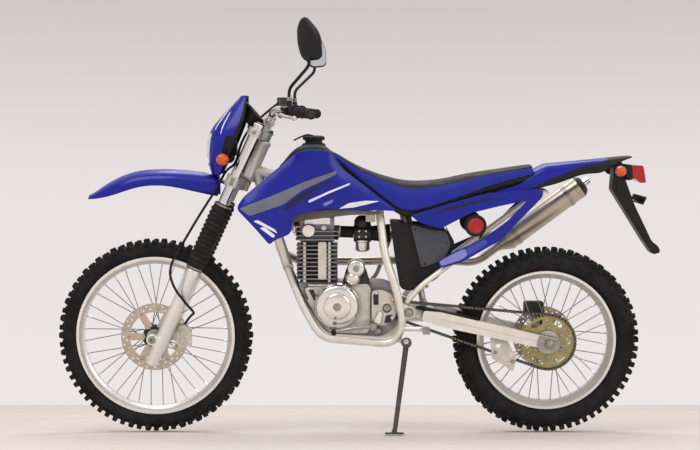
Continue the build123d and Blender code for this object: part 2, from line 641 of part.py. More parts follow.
HEAD_LOW = LOWER_CLAMP + LOWER_THICK + 2
HEAD_HIGH = UPPER_CLAMP - 2
head_mid = FORK.from_local_coords(Vector(STEER_U, 0, HEAD_LOW + 36))
head_foot = FORK.from_local_coords(Vector(STEER_U - 14, 0, HEAD_LOW + 46))
DOWN_TUBE_END = Vector(222, 0, 585)
BACKBONE_END = Vector(-196, 0, 838)
SPLIT_Y = 16
cradle = [
    (226, SPLIT_Y, 592), (172, 60, 463), (104, 90, 350), (-150, 100, 331), (-188, UPRIGHT_Y, 400),
    (-158, UPRIGHT_Y, 536), (-120, UPRIGHT_Y, 640), (-98, 40, 838),
]
with BuildPart() as main_frame:
    with BuildSketch(FORK.offset(HEAD_LOW)):
        with Locations((STEER_U, 0)):
            RegularPolygon(HEAD_R, sides(HEAD_R))
    extrude(amount=HEAD_HIGH - HEAD_LOW)
    add(rod(head_mid, BACKBONE_END, BACKBONE_R))
    add(rod(head_foot, DOWN_TUBE_END, DOWN_TUBE_R))
    for side in (1, -1):
        add(pipe([(x, side * y, z) for x, y, z in cradle], 30, CRADLE_R))
        plate_foot = Vector(PIVOT.X, side * (UPRIGHT_Y - 6), PIVOT.Z)
        with BuildSketch(Plane(plate_foot, x_dir=(1, 0, 0), z_dir=(0, side, 0))):
            RegularPolygon(23, 12)
            with Locations((16, 0)):
                Rectangle(32, 46)
        extrude(amount=12)
    add(rod(PIVOT - Vector(0, UPRIGHT_Y + 8, 0), PIVOT + Vector(0, UPRIGHT_Y + 8, 0), PIVOT_SHAFT_R))
    for side in (1, -1):
        add(rod((-184, side * UPRIGHT_Y, PEG.Z), (PEG.X, side * (PEG.Y - 9 - FIT), PEG.Z), 9))
    add(rod((-98, -40, 838), (-98, 40, 838), CRADLE_R))
    add(rod(STAND_PIVOT - STAND_AXIS * 28, STAND_PIVOT - STAND_AXIS * (STAND_LUG / 2 + 0.5), 11))
    add(rod(STAND_PIVOT - STAND_AXIS * 24, (-166, 104, 350), 8.8))
    add(rod(STAND_PIVOT - STAND_AXIS * 20, STAND_PIVOT + STAND_AXIS * 12, STAND_PIN_R))
    with BuildSketch(FORK.offset(HEAD_LOW - 5)):
        with Locations((STEER_U, 0)):
            Circle(STEM_R + SHAFT_GAP)
    extrude(amount=HEAD_HIGH - HEAD_LOW + 10, mode=Mode.SUBTRACT)
PARTS["main_frame"] = main_frame.part

SUBFRAME_REAR = Vector(-690, 60, 866)
RAIL_SEAT = 1.1  # from a sloping rail to the flat foot that stands on it
UPPER_RAIL, LOWER_RAIL = Vector(-115, 50, 821), Vector(-244, 104, 536)
with BuildPart() as subframe:
    for side in (1, -1):
        rear = Vector(SUBFRAME_REAR.X, side * SUBFRAME_REAR.Y, SUBFRAME_REAR.Z)
        upper = Vector(UPPER_RAIL.X, side * UPPER_RAIL.Y, UPPER_RAIL.Z)
        lower = Vector(LOWER_RAIL.X, side * LOWER_RAIL.Y, LOWER_RAIL.Z)
        add(rod(upper, rear, SUBFRAME_R))
        add(pipe([(-195, side * 100, 477), lower, rear], 20, SUBFRAME_R))
    add(rod(SUBFRAME_REAR, flip(SUBFRAME_REAR), SUBFRAME_R))
    add(rod((-420, 54, 846), (-420, -54, 846), SUBFRAME_R))
PARTS["subframe"] = subframe.part

# Engine

CASE_HALF = 72
case_outline = [
    (188, 545), (178, 520), (148, 462), (96, 376), (76, 362), (-110, 350), (-168, 392), (-168, 520),
    (-120, 545),
]
with BuildPart() as crankcase:
    add(side_slab(case_outline, 0, -CASE_HALF, CASE_HALF))
    add(rod((48, 70, 464), (48, 104, 464), 80, 74))
    add(rod((48, 104, 464), (48, 112, 464), 46))
    add(rod((20, -70, 452), (20, -110, 452), 88, 80))
    add(rod((-19, 10, 598), (-19, 92, 598), 32))
    add(side_slab([(-52, 598), (14, 598), (30, 540), (-70, 540)], 0, 20, 72))
    for side in (1, -1):
        add(rod((60, side * 60, 356), (60, side * 77.2, 356), 9))
    with Locations((COUNTERSHAFT.X - 8, 90, COUNTERSHAFT.Z)):
        Box(104, 60, 130, mode=Mode.SUBTRACT)
    add(rod(COUNTERSHAFT - Vector(0, 18, 0), COUNTERSHAFT + Vector(0, 12, 0), 11))
    add(rod(COUNTERSHAFT - Vector(0, 3, 0), COUNTERSHAFT + Vector(0, 3, 0), 19.5))
PARTS["crankcase"] = crankcase.part

CYL_X, CYL_HALF_X, CYL_HALF_Y = 120, 74, 66
CYL_LOW, CYL_HIGH = 545 + FIT, 690
FIN_COUNT, FIN_THICK = 9, 5
with BuildPart() as cylinder:
    with BuildSketch(Plane.XY.offset(CYL_LOW)):
        with Locations((CYL_X, 0)):
            Rectangle(2 * CYL_HALF_X - 36, 2 * CYL_HALF_Y - 30)
    extrude(amount=CYL_HIGH - CYL_LOW)
    fin_pitch = (CYL_HIGH - CYL_LOW - 12) / FIN_COUNT
    for i in range(FIN_COUNT):
        with BuildSketch(Plane.XY.offset(CYL_LOW + 12 + i * fin_pitch)):
            with Locations((CYL_X, 0)):
                Rectangle(2 * CYL_HALF_X, 2 * CYL_HALF_Y)
        extrude(amount=FIN_THICK)
PARTS["cylinder"] = cylinder.part

HEAD_TOP = 776
with BuildPart() as cylinder_head:
    with BuildSketch(Plane.XY.offset(CYL_HIGH + FIT)):
        with Locations((CYL_X, 0)):
            Rectangle(2 * CYL_HALF_X - 26, 2 * CYL_HALF_Y - 22)
    extrude(amount=HEAD_TOP - CYL_HIGH)
    for i in range(3):
        with BuildSketch(Plane.XY.offset(CYL_HIGH + 6 + i * fin_pitch)):
            with Locations((CYL_X, 0)):
                Rectangle(2 * CYL_HALF_X + 6, 2 * CYL_HALF_Y + 6)
        extrude(amount=FIN_THICK)
    add(rod((CYL_X + 40, -40, 736), (CYL_X + CYL_HALF_X + 5, -40, 736), 24))
    add(rod((CYL_X - 40, 0, 722), (CYL_X - CYL_HALF_X - 8, 0, 722), 24))
PARTS["cylinder_head"] = cylinder_head.part

with BuildPart() as carburettor:
    add(rod((CYL_X - CYL_HALF_X - 8 - FIT, 0, 722), (-10, 0, 722), 22))
    add(rod((-10, 0, 716), (-74, 0, 716), 31))
    add(rod((-42, 0, 780), (-42, 0, 650), 27))
    add(rod((-74, 0, 716), (-141.8, 0, 716), 25, 34))
PARTS["carburettor"] = carburettor.part

PORT = Vector(CYL_X + CYL_HALF_X + 5 + FIT, -40, 736)
HEADER_R = 16
MUFFLER_FRONT, MUFFLER_REAR = Vector(-545, -176, 652), Vector(-842, -176, 872)
MUFFLER_R = 42
muffler_along = (MUFFLER_REAR - MUFFLER_FRONT).normalized()
header_route = [
    PORT, PORT + Vector(56, 0, 0), (262, -104, 640), (190, -148, 600), (-60, -156, 600), (-300, -160, 606),
    MUFFLER_FRONT - muffler_along * 100, MUFFLER_FRONT - muffler_along * 4,
]
with BuildPart() as exhaust_header:
    add(pipe(header_route, 26, HEADER_R, flats=8))
PARTS["exhaust_header"] = exhaust_header.part

with BuildPart() as muffler:
    add(rod(MUFFLER_FRONT - muffler_along * (4 - FIT), MUFFLER_FRONT + muffler_along * 40, 22, MUFFLER_R))
    add(rod(MUFFLER_FRONT + muffler_along * 40, MUFFLER_REAR, MUFFLER_R))
    add(rod(MUFFLER_REAR, MUFFLER_REAR + muffler_along * 22, MUFFLER_R, 26))
    add(rod(MUFFLER_REAR, MUFFLER_REAR + muffler_along * 46, 15))
PARTS["muffler"] = muffler.part

AIRBOX_HALF = 80
airbox_outline = [(-140, 764), (-330, 744), (-368, 690), (-345, 620), (-306, 560), (-214, 517), (-176, 524)]
with BuildPart() as airbox:
    add(side_slab(airbox_outline, 0, -AIRBOX_HALF, AIRBOX_HALF))
    with Locations((-270, 0, 640)):
        Box(200, 88, 400, mode=Mode.SUBTRACT)
PARTS["airbox"] = airbox.part

cover_outline = [(-211, 753), (-283, 736), (-338, 729), (-353, 681), (-329, 630), (-249, 600), (-234, 661)]
with BuildPart() as side_covers:
    add(side_slab(cover_outline, 0, AIRBOX_HALF + FIT, AIRBOX_HALF + 12))
    add(side_slab(cover_outline, 0, -AIRBOX_HALF - 12, -AIRBOX_HALF - FIT))
PARTS["side_covers"] = side_covers.part

# Bodywork

TANK_HALF = 104
tank_outline = [
    (252, 820), (244, 962), (196, 1026), (142, 1040), (92, 1036), (60, 1002), (26, 950), (-56, 884),
    (-40, 808), (200, 806),
]
TUNNEL_FLOOR = 700
tunnel_outline = [
    (head_mid.X, TUNNEL_FLOOR), (head_mid.X, head_mid.Z), (BACKBONE_END.X, BACKBONE_END.Z),
    (BACKBONE_END.X, TUNNEL_FLOOR),
]
with BuildPart() as fuel_tank:
    add(side_slab(tank_outline, (30, 30, 60, 60, 40, 30, 30, 10, 10, 10), -TANK_HALF, TANK_HALF))
    with BuildSketch(Plane.XY.offset(1020)):
        with Locations((132, 0)):
            RegularPolygon(30, 20)
    extrude(amount=30)
    with BuildSketch(Plane.XY.offset(1048)):
        with Locations((132, 0)):
            RegularPolygon(38, 20)
    extrude(amount=16)
    add(rod(head_mid, BACKBONE_END, BACKBONE_R + FIT), mode=Mode.SUBTRACT)
    add(side_slab(tunnel_outline, 0, -BACKBONE_R - 8, BACKBONE_R + 8), mode=Mode.SUBTRACT)
PARTS["fuel_tank"] = fuel_tank.part

shroud_outline = [
    (398, 816), (373, 855), (234, 971), (188, 1010), (140, 1019), (69, 1012), (26, 949), (-166, 802),
    (-99, 806), (101, 811), (203, 790), (203, 759), (209, 726), (265, 705), (282, 688), (336, 751),
]
shroud_plan = [(410, 176), (310, 173), (240, 164), (160, 147), (80, 131), (-20, 120), (-190, 114)]
SHROUD_WALL = 5
SHROUD_BOSS_R = 11
SHROUD_BOSSES = [(180, 940, 148), (20, 878, 121)]  # x, z and the wall that each spacer reaches
with BuildPart() as shrouds:
    for side in (1, -1):
        outer = [(x, side * y) for x, y in shroud_plan]
        inner = [(x, side * (y - SHROUD_WALL)) for x, y in reversed(shroud_plan)]
        with BuildSketch(Plane.XY.offset(660)):
            with BuildLine():
                Polyline(*outer, *inner, close=True)
            make_face()
        extrude(amount=400)
    add(side_slab(shroud_outline, 0, -200, 200), mode=Mode.INTERSECT)
    for x, z, wall_y in SHROUD_BOSSES:
        for side in (1, -1):
            add(rod((x, side * (TANK_HALF + FIT), z), (x, side * wall_y, z), SHROUD_BOSS_R))
PARTS["shrouds"] = shrouds.part

SEAT_HALF = 118
seat_outline = [
    (62, 1012), (20, 981), (-105, 926), (-185, 904), (-322, 909), (-430, 932), (-640, 963), (-640, 932),
    (-500, 896), (-392, 858), (-269, 816), (-186, 800), (10, 950), (48, 990),
]
seat_corners = (3, 40, 120, 160, 160, 200, 3, 3, 60, 60, 60, 20, 3, 3)
seat_hollow = [(30, 780), (30, 908), (-100, 885), (-210, 866), (-660, 892), (-660, 780)]
seat_plan = [(70, 62), (-10, 84), (-190, 118), (-430, 116), (-645, 84)]
SEAT_SHARE = 0.32  # where along the upper rail a foot of the seat stands
seat_rail = UPPER_RAIL + (SUBFRAME_REAR - UPPER_RAIL) * SEAT_SHARE
with BuildPart() as seat:
    add(side_slab(seat_outline, seat_corners, -SEAT_HALF, SEAT_HALF))
    add(plan_slab(both_halves(seat_plan), 0, 700, 1100), mode=Mode.INTERSECT)
    add(side_slab(seat_hollow, 0, -99, 99), mode=Mode.SUBTRACT)
    for side in (1, -1):
        foot = Vector(seat_rail.X, side * seat_rail.Y, seat_rail.Z + SUBFRAME_R + RAIL_SEAT)
        add(rod(foot, foot + Vector(0, 0, 34), 10))
PARTS["seat"] = seat.part

panel_outline = [
    (-209, 788), (-332, 826), (-455, 861), (-596, 879), (-677, 874), (-672, 850), (-526, 701), (-392, 624),
    (-314, 603), (-304, 626), (-362, 660), (-455, 701), (-547, 765), (-620, 840), (-526, 821), (-420, 796),
    (-316, 742), (-238, 764),
]
PANEL_WALL = 6
TAIL_HALF = 84
RAIL_SHARE = 0.35  # where along the lower rail a panel is fastened
rail_point = LOWER_RAIL + (SUBFRAME_REAR - LOWER_RAIL) * RAIL_SHARE
PANEL_FRONT_Y, PANEL_REAR_Y = 120, 92
with BuildPart() as side_panels:
    for side in (1, -1):
        wall = [(-209, side * PANEL_FRONT_Y), (-690, side * PANEL_REAR_Y)]
        with BuildSketch(Plane.XY.offset(580)):
            with BuildLine():
                Polyline(*wall, *[(x, y + side * PANEL_WALL) for x, y in reversed(wall)], close=True)
            make_face()
        extrude(amount=320)
    add(side_slab(panel_outline, 0, -150, 150), mode=Mode.INTERSECT)
    for side in (1, -1):
        boss_y = rail_point.Y + SUBFRAME_R + RAIL_SEAT
        add(rod((rail_point.X, side * boss_y, rail_point.Z), (rail_point.X, side * 111, rail_point.Z), 9))
        add(rod((-596, side * (TAIL_HALF + FIT), 873), (-596, side * 100, 873), 5))
PARTS["side_panels"] = side_panels.part

tail_outline = [
    (-505, 884), (-646, 922), (-652, 962), (-945, 989), (-993, 993), (-993, 989), (-935, 968), (-898, 934),
    (-808, 930), (-743, 902), (-610, 868), (-505, 858),
]
tail_plan = [(-500, TAIL_HALF), (-640, TAIL_HALF), (-900, 76), (-994, 58)]


def tail_blank(inset):
    """The rear mudguard's outer form, or its hollow when inset by the wall."""
    outline = tail_outline
    if inset:
        outline = [(-490, 880), (-649, 918), (-656, 958), (-925, 982), (-925, 800), (-490, 800)]
    plan = [(x, y - inset) for x, y in tail_plan]
    with BuildPart() as blank:
        add(side_slab(outline, 0, -100, 100))
        add(plan_slab(both_halves(plan), 0, 700, 1100), mode=Mode.INTERSECT)
    return blank.part


TAIL_SHARE = 0.78  # where along the upper rail the mudguard is fastened
tail_rail = UPPER_RAIL + (SUBFRAME_REAR - UPPER_RAIL) * TAIL_SHARE
with BuildPart() as rear_fender:
    add(tail_blank(0))
    add(tail_blank(PLASTIC), mode=Mode.SUBTRACT)
    for side in (1, -1):
        top = Vector(tail_rail.X, side * tail_rail.Y, tail_rail.Z + SUBFRAME_R + RAIL_SEAT)
        add(rod(top, top + Vector(0, 0, 32), 9))
PARTS["rear_fender"] = rear_fender.part

bracket_outline = [
    (-935, 967.5), (-962, 977.2), (-976, 907), (-1010, 817), (-1072, 690), (-1096, 672), (-1104, 650),
    (-1076, 642), (-1042, 691), (-970, 806), (-928, 872),
]
PLATE_HOLE_R, PLATE_HOLE_SPACING = 3.3, 140
PLATE_BAR = Vector(-1036, 0, 836)
with BuildPart() as plate_bracket:
    add(side_slab(bracket_outline, 0, -36, 36))
    bar_plane = Plane(PLATE_BAR, x_dir=(0, 1, 0), z_dir=(-0.9, 0, -0.44))
    with BuildSketch(bar_plane):
        RectangleRounded(170, 30, 6)
    extrude(amount=-4)
    with BuildSketch(bar_plane.offset(-4)):
        Rectangle(40, 20)
    extrude(until=Until.NEXT, dir=-bar_plane.z_dir)
    with Locations(bar_plane):
        with Locations((-PLATE_HOLE_SPACING / 2, 0), (PLATE_HOLE_SPACING / 2, 0)):
            Hole(PLATE_HOLE_R, 12)
PARTS["plate_bracket"] = plate_bracket.part

TAIL_LAMP_HALF = 58
tail_lamp_outline = [(-965, 964), (-1034, 962), (-1046, 898), (-1022, 896), (-1006, 914), (-976.6, 906)]
with BuildPart() as tail_lamp:
    add(side_slab(tail_lamp_outline, 0, -TAIL_LAMP_HALF, TAIL_LAMP_HALF))
PARTS["tail_lamp"] = tail_lamp.part

with BuildPart() as rear_indicators:
    for side in (1, -1):
        add(rod((-945, side * (36 + FIT), 942), (-945, side * 96, 942), 7))
        add(rod((-945, side * 94, 942), (-945, side * 132, 942), 20, 14))
PARTS["rear_indicators"] = rear_indicators.part

REFLECTOR_CENTRE = Vector(-437, 118, 752)
REFLECTOR_R, REFLECTOR_Y = 39, (106, 124)
REFLECTOR_SHARE = 0.48  # where along the lower rail its bracket stands
reflector_rail = LOWER_RAIL + (SUBFRAME_REAR - LOWER_RAIL) * REFLECTOR_SHARE
rail_up = Vector(0, 1, 0).cross(SUBFRAME_REAR - LOWER_RAIL).normalized()
with BuildPart() as side_reflectors:
    for side in (1, -1):
        add(rod(*[(REFLECTOR_CENTRE.X, side * y, REFLECTOR_CENTRE.Z) for y in REFLECTOR_Y], REFLECTOR_R))
        foot = reflector_rail + rail_up * (SUBFRAME_R + FIT)
        knee = reflector_rail + rail_up * 40
        stem = [foot, knee, Vector(knee.X, 110, knee.Z + 14)]
        add(pipe([(p.X, side * p.Y, p.Z) for p in stem], 6, 4, flats=6))
PARTS["side_reflectors"] = side_reflectors.part

# Rear suspension and drive

arm_along = (REAR_AXLE - PIVOT).normalized()
ARM = Plane(PIVOT, x_dir=-arm_along, z_dir=(0, -1, 0))
arm_length = (REAR_AXLE - PIVOT).length
arm_end = arm_length + ARM_TAIL
arm_half = [
    (-50, PIVOT_R), (-110, ARM_HALF_HEIGHT), (-arm_end + 10, ARM_HALF_HEIGHT - 4),
    (-arm_end, ARM_HALF_HEIGHT - 14),
]
with BuildPart() as swingarm:
    with BuildSketch(ARM.offset(-94)):
        RegularPolygon(PIVOT_R, 12)
        with Locations((-40, 0)):
            Rectangle(80, 2 * PIVOT_R)
    extrude(amount=188)
    with BuildSketch(ARM.offset(-ARM_OUT)):
        with Locations((-76, 0)):
            Rectangle(48, 2 * PIVOT_R)
    extrude(amount=2 * ARM_OUT)
    for side in (1, -1):
        with BuildSketch(ARM.offset(-side * ARM_IN)):
            with BuildLine():
                Polyline(*both_halves(arm_half), close=True)
            make_face()
        extrude(amount=-side * (ARM_OUT - ARM_IN))
    add(cross_bore(PIVOT, 120, PIVOT_SHAFT_R + SHAFT_GAP), mode=Mode.SUBTRACT)
    add(cross_bore(REAR_AXLE, 140, AXLE_R + SHAFT_GAP), mode=Mode.SUBTRACT)
PARTS["swingarm"] = swingarm.part

with BuildPart() as rear_axle:
    add(rod(REAR_AXLE - Vector(0, 134, 0), REAR_AXLE + Vector(0, 134, 0), AXLE_R))
    for low, high, radius in (
        (ARM_OUT + FIT, 130, 16), (-130, -ARM_OUT - FIT, 16), (80.5, ARM_IN - FIT, 13),
        (-ARM_IN + FIT, -72.5, 13),
    ):
        add(rod(REAR_AXLE + Vector(0, low, 0), REAR_AXLE + Vector(0, high, 0), radius))
PARTS["rear_axle"] = rear_axle.part

SHOCK_TOP, SHOCK_FOOT = Vector(-190, 0, 806), Vector(-261.4, 0, 465.4)
shock_along = (SHOCK_TOP - SHOCK_FOOT).normalized()
with BuildPart() as shock:
    add(rod(SHOCK_FOOT, SHOCK_FOOT + shock_along * 60, 14))
    add(rod(SHOCK_FOOT + shock_along * 50, SHOCK_TOP - shock_along * 70, 32))
    add(rod(SHOCK_TOP - shock_along * 80, SHOCK_TOP, 22))
    add(rod(SHOCK_TOP, SHOCK_TOP + shock_along * 20, 12))
    add(rod(SHOCK_FOOT - Vector(0, 20, 0), SHOCK_FOOT + Vector(0, 20, 0), 14))
    backbone_past = BACKBONE_END + (BACKBONE_END - head_mid).normalized()
    add(rod(head_mid, backbone_past, BACKBONE_R + FIT), mode=Mode.SUBTRACT)
PARTS["shock"] = shock.part

CHAIN_GROOVE_HALF = 4.2


def chain_loop(offset, half_width):
    """A block round both sprockets, its edge this far outside the chain's pitch line."""
    with BuildPart() as loop:
        with BuildSketch(Plane.XZ.offset(-CHAIN_Y)):
            with Locations((COUNTERSHAFT.X, COUNTERSHAFT.Z)):
                Circle(FRONT_PITCH_R + offset)
            with Locations((REAR_AXLE.X, REAR_AXLE.Z)):
                Circle(REAR_PITCH_R + offset)
            make_hull()
        extrude(amount=half_width, both=True)
    return loop.part


with BuildPart() as chain:
    add(chain_loop(CHAIN_HALF_HEIGHT, CHAIN_HALF_WIDTH))
    add(chain_loop(-CHAIN_HALF_HEIGHT, CHAIN_HALF_WIDTH + 1), mode=Mode.SUBTRACT)
    add(chain_loop(CHAIN_HALF_HEIGHT - 2, CHAIN_GROOVE_HALF), mode=Mode.SUBTRACT)
PARTS["chain"] = chain.part

centres = Vector(REAR_AXLE.X - COUNTERSHAFT.X, 0, REAR_AXLE.Z - COUNTERSHAFT.Z)
run_angle = atan2(centres.Z, -centres.X) + atan2(FRONT_PITCH_R - REAR_PITCH_R, centres.length)


def lower_run(x):
    """Height of the chain's lower run."""
    drop = (COUNTERSHAFT.X - x) * tan(run_angle)
    return COUNTERSHAFT.Z - FRONT_PITCH_R / cos(run_angle) + drop


GUIDE_FRONT_X, GUIDE_REAR_X = -500, -588
guide_mid_x = (GUIDE_FRONT_X + GUIDE_REAR_X) / 2
guide_outline = [
    (GUIDE_FRONT_X + 6, 356.3), (GUIDE_FRONT_X, lower_run(GUIDE_FRONT_X) - 22),
    (GUIDE_REAR_X + 12, lower_run(GUIDE_REAR_X) - 40), (GUIDE_REAR_X, lower_run(GUIDE_REAR_X) + 10),
    (guide_mid_x - 10, 343.3),
]
with BuildPart() as chain_guide:
    add(side_slab(guide_outline, 0, ARM_IN - 4, ARM_IN + 4))
    guide_middle = (guide_mid_x, CHAIN_Y + 1, lower_run(guide_mid_x))
    with Locations(Location(guide_middle, (0, degrees(run_angle), 0))):
        Box(70, 26, 34)
        Box(90, 2 * CHAIN_HALF_WIDTH + 4, 2 * CHAIN_HALF_HEIGHT + 5, mode=Mode.SUBTRACT)
PARTS["chain_guide"] = chain_guide.part

with BuildPart() as rear_caliper:
    add(side_slab([(-702, 416), (-702, 462), (-630, 462), (-630, 416)], 0, -86, -46))
    with BuildSketch(wheel_plane(REAR_AXLE, REAR_DISC_Y - CALIPER_CLEAR)):
        Circle(110 + CALIPER_CLEAR)
    extrude(amount=DISC_THICK + 2 * CALIPER_CLEAR, mode=Mode.SUBTRACT)
    add(side_slab([(-640, 450), (-700, 450), (-724, 330), (-700, 308), (-672, 330)], 0, -86, -78))
    add(bore(REAR_AXLE - Vector(0, 100, 0), REAR_AXLE - Vector(0, 60, 0), 13 + FIT), mode=Mode.SUBTRACT)
PARTS["rear_caliper"] = rear_caliper.part

with BuildPart() as foot_controls:
    for side in (1, -1):
        add(rod((PEG.X, side * PEG.Y, PEG.Z), (PEG.X, side * 214, PEG.Z + 3), 13))
    add(rod((-78, 72 + FIT, 396), (-78, 132, 396), 8))
    add(rod((-78, 126, 396), (60, 134, 380), 6))
    add(rod((60, 128, 380), (60, 172, 380), 8))
    add(rod((-188, -UPRIGHT_Y - CRADLE_R - FIT, 420), (-188, -150, 420), 10))
    add(pipe([(-188, -144, 420), (-120, -146, 352), (48, -150, 350)], 24, 7))
    with Locations((58, -150, 354)):
        Box(46, 44, 12)
    add(rod((-70, -72 - FIT, 520), (-70, -200, 520), 9))
    add(pipe([(-70, -194, 520), (-96, -194, 545), (-150, -198, 690)], 12, 8))
    add(rod((-150, -194, 690), (-150, -252, 694), 8))
PARTS["foot_controls"] = foot_controls.part

leg_along = (STAND_FOOT - STAND_PIVOT).normalized()
foot_plane = Plane(STAND_FOOT, x_dir=FLOOR.x_dir, z_dir=FLOOR.z_dir)
with BuildPart() as side_stand:
    half_lug = STAND_AXIS * (STAND_LUG / 2)
    add(rod(STAND_PIVOT - half_lug, STAND_PIVOT + half_lug, STAND_LUG_R))
    add(rod(STAND_PIVOT + leg_along * 16, STAND_FOOT - leg_along * 4, STAND_R, STAND_R - 2))
    with BuildSketch(foot_plane):
        RectangleRounded(64, 36, 8)
    extrude(amount=6)
    pin_reach = STAND_AXIS * 20
    add(bore(STAND_PIVOT - pin_reach, STAND_PIVOT + pin_reach, STAND_PIN_R + SHAFT_GAP), mode=Mode.SUBTRACT)
    split(bisect_by=foot_plane, keep=Keep.TOP)
PARTS["side_stand"] = side_stand.part

# Parking: lean the bike onto its stand, put the origin under the middle of its box, and write the parts

TILT = Location((0, 0, 0), (-LEAN, 0, 0))
box = Compound([part.moved(TILT) for part in PARTS.values()]).bounding_box()
centre = box.center()
PARKED = Location((-centre.X, -centre.Y, -box.min.Z)) * TILT

os.makedirs("parts", exist_ok=True)
for name, part in PARTS.items():
    placed = part.moved(PARKED)
    placed.label = name
    export_step(placed, f"parts/{name}.step")
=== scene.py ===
import json
import math
from types import SimpleNamespace

import bmesh
import bpy
from mathutils import Matrix, Vector, geometry


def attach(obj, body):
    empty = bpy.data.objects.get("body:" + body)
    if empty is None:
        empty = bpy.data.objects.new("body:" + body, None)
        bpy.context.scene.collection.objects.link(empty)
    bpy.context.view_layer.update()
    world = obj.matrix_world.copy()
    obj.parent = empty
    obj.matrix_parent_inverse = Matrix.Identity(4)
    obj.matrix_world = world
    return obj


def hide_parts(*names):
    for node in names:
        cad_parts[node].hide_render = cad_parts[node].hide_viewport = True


# A blue trail bike on its side stand. Shapes are drawn upright, in millimetres: X forward, Y to the
# rider's left, Z up, with the origin on the floor midway between the axles. TO_ROW leans them onto
# the stand and puts them in the row frame. Functions named after parts of the bike make its pieces.

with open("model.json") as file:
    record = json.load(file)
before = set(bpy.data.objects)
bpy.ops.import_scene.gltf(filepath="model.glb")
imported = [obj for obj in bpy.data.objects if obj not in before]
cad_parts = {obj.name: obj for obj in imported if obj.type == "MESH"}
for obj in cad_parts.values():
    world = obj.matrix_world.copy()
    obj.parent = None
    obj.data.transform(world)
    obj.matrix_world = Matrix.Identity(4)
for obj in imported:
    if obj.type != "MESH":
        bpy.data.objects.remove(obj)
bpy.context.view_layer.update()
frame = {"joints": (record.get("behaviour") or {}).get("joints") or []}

MM = 0.001
LEAN = math.radians(9.5)
RAKE = math.radians(24.5)
FRONT_AXLE = Vector((700, 0, 349))
REAR_AXLE = Vector((-700, 0, 334))
PIVOT = Vector((-205, 0, 446))
LEFT = Vector((0, 1, 0))
UP = Vector((0, 0, 1))
FORWARD = Vector((1, 0, 0))
SIDES = (1, -1)

joints = {joint["name"]: joint for joint in frame["joints"]}
hub_at = Vector(joints["front_wheel_spin"]["pos_m"])
TILT = Matrix.Rotation(-LEAN, 4, "X")
TO_ROW = Matrix.Translation(hub_at - TILT @ (FRONT_AXLE * MM)) @ TILT @ Matrix.Scale(MM, 4)

# Directions of the fork: ahead of its legs and up along them

FORK_X = Vector((math.cos(RAKE), 0, math.sin(RAKE)))
FORK_Z = Vector((-math.sin(RAKE), 0, math.cos(RAKE)))
FORK_TURN = Matrix((FORK_X, LEFT, FORK_Z)).transposed()


def fork(u, v, w):
    """A point by the fork's own measures: u ahead of the axle, v to the left, w up the leg."""
    return FRONT_AXLE + FORK_X * u + LEFT * v + FORK_Z * w


# Materials

DRIFT_FROM_TO = (0.32, 0.68)
GLOSS_SHARES = (1.22, 0.8)
SPECULAR_LEVEL = 0.3
COAT_ROUGHNESS = 0.08
CLOUD_DETAIL = 7
CLOUD_ROUGHNESS = 0.62
CREVICE_SAMPLES = 6
RELIEF_HEIGHT = 0.4


def channel(value):
    """One sRGB channel from 0 to 255 as a linear number."""
    value /= 255
    return value / 12.92 if value <= 0.04045 else ((value + 0.055) / 1.055) ** 2.4


def finish(
    name, colour, rough, metal=0.0, coat=0.0, sheen=0.0,
    drift=0.1, patch=40, grain=0.1, grit=1.2, cells=False, painted_shade=0,
):
    """A surface whose colour and gloss drift over patches, with a raised grain and painted shade in its
    crevices.

    patch, grit and the shade's reach are in mm: the size of a patch, of the grain, and how far the painted
    shade reaches out of a crevice.
    """
    material = bpy.data.materials.new(name)
    material.use_nodes = True
    nodes = material.node_tree.nodes
    links = material.node_tree.links
    shader = nodes["Principled BSDF"]
    shader.inputs["Metallic"].default_value = metal
    shader.inputs["Specular IOR Level"].default_value = SPECULAR_LEVEL
    shader.inputs["Coat Weight"].default_value = coat
    shader.inputs["Coat Roughness"].default_value = COAT_ROUGHNESS
    shader.inputs["Sheen Weight"].default_value = sheen
    place = nodes.new("ShaderNodeTexCoord").outputs["Object"]

    cloud = nodes.new("ShaderNodeTexNoise")
    cloud.inputs["Scale"].default_value = 1 / (patch * MM)
    cloud.inputs["Detail"].default_value = CLOUD_DETAIL
    cloud.inputs["Roughness"].default_value = CLOUD_ROUGHNESS
    links.new(place, cloud.inputs["Vector"])
    tint = nodes.new("ShaderNodeValToRGB")
    for stop, position, share in zip(tint.color_ramp.elements, DRIFT_FROM_TO, (1 - drift, 1 + drift)):
        stop.position = position
        stop.color = (*(min(1, channel(value) * share) for value in colour), 1)
    links.new(cloud.outputs["Fac"], tint.inputs["Fac"])
    paint = tint.outputs["Color"]
    # Ambient occlusion darkens the colour in creases and gaps, where shade falls: painted shade.
    if painted_shade:
        crevice = nodes.new("ShaderNodeAmbientOcclusion")
        crevice.samples = CREVICE_SAMPLES
        crevice.inputs["Distance"].default_value = painted_shade * MM
        links.new(paint, crevice.inputs["Color"])
        paint = crevice.outputs["Color"]
    links.new(paint, shader.inputs["Base Color"])

    gloss = nodes.new("ShaderNodeMapRange")
    for socket, value in zip(("From Min", "From Max"), DRIFT_FROM_TO):
        gloss.inputs[socket].default_value = value
    for socket, share in zip(("To Min", "To Max"), GLOSS_SHARES):
        gloss.inputs[socket].default_value = rough * share
    links.new(cloud.outputs["Fac"], gloss.inputs["Value"])
    links.new(gloss.outputs["Result"], shader.inputs["Roughness"])

    texture = nodes.new("ShaderNodeTexVoronoi" if cells else "ShaderNodeTexNoise")
    texture.inputs["Scale"].default_value = 1 / (grit * MM)
    links.new(place, texture.inputs["Vector"])
    relief = nodes.new("ShaderNodeBump")
    relief.inputs["Strength"].default_value = grain
    relief.inputs["Distance"].default_value = RELIEF_HEIGHT * grit * MM
    links.new(texture.outputs["Distance" if cells else "Fac"], relief.inputs["Height"])
    links.new(relief.outputs["Normal"], shader.inputs["Normal"])
    return material


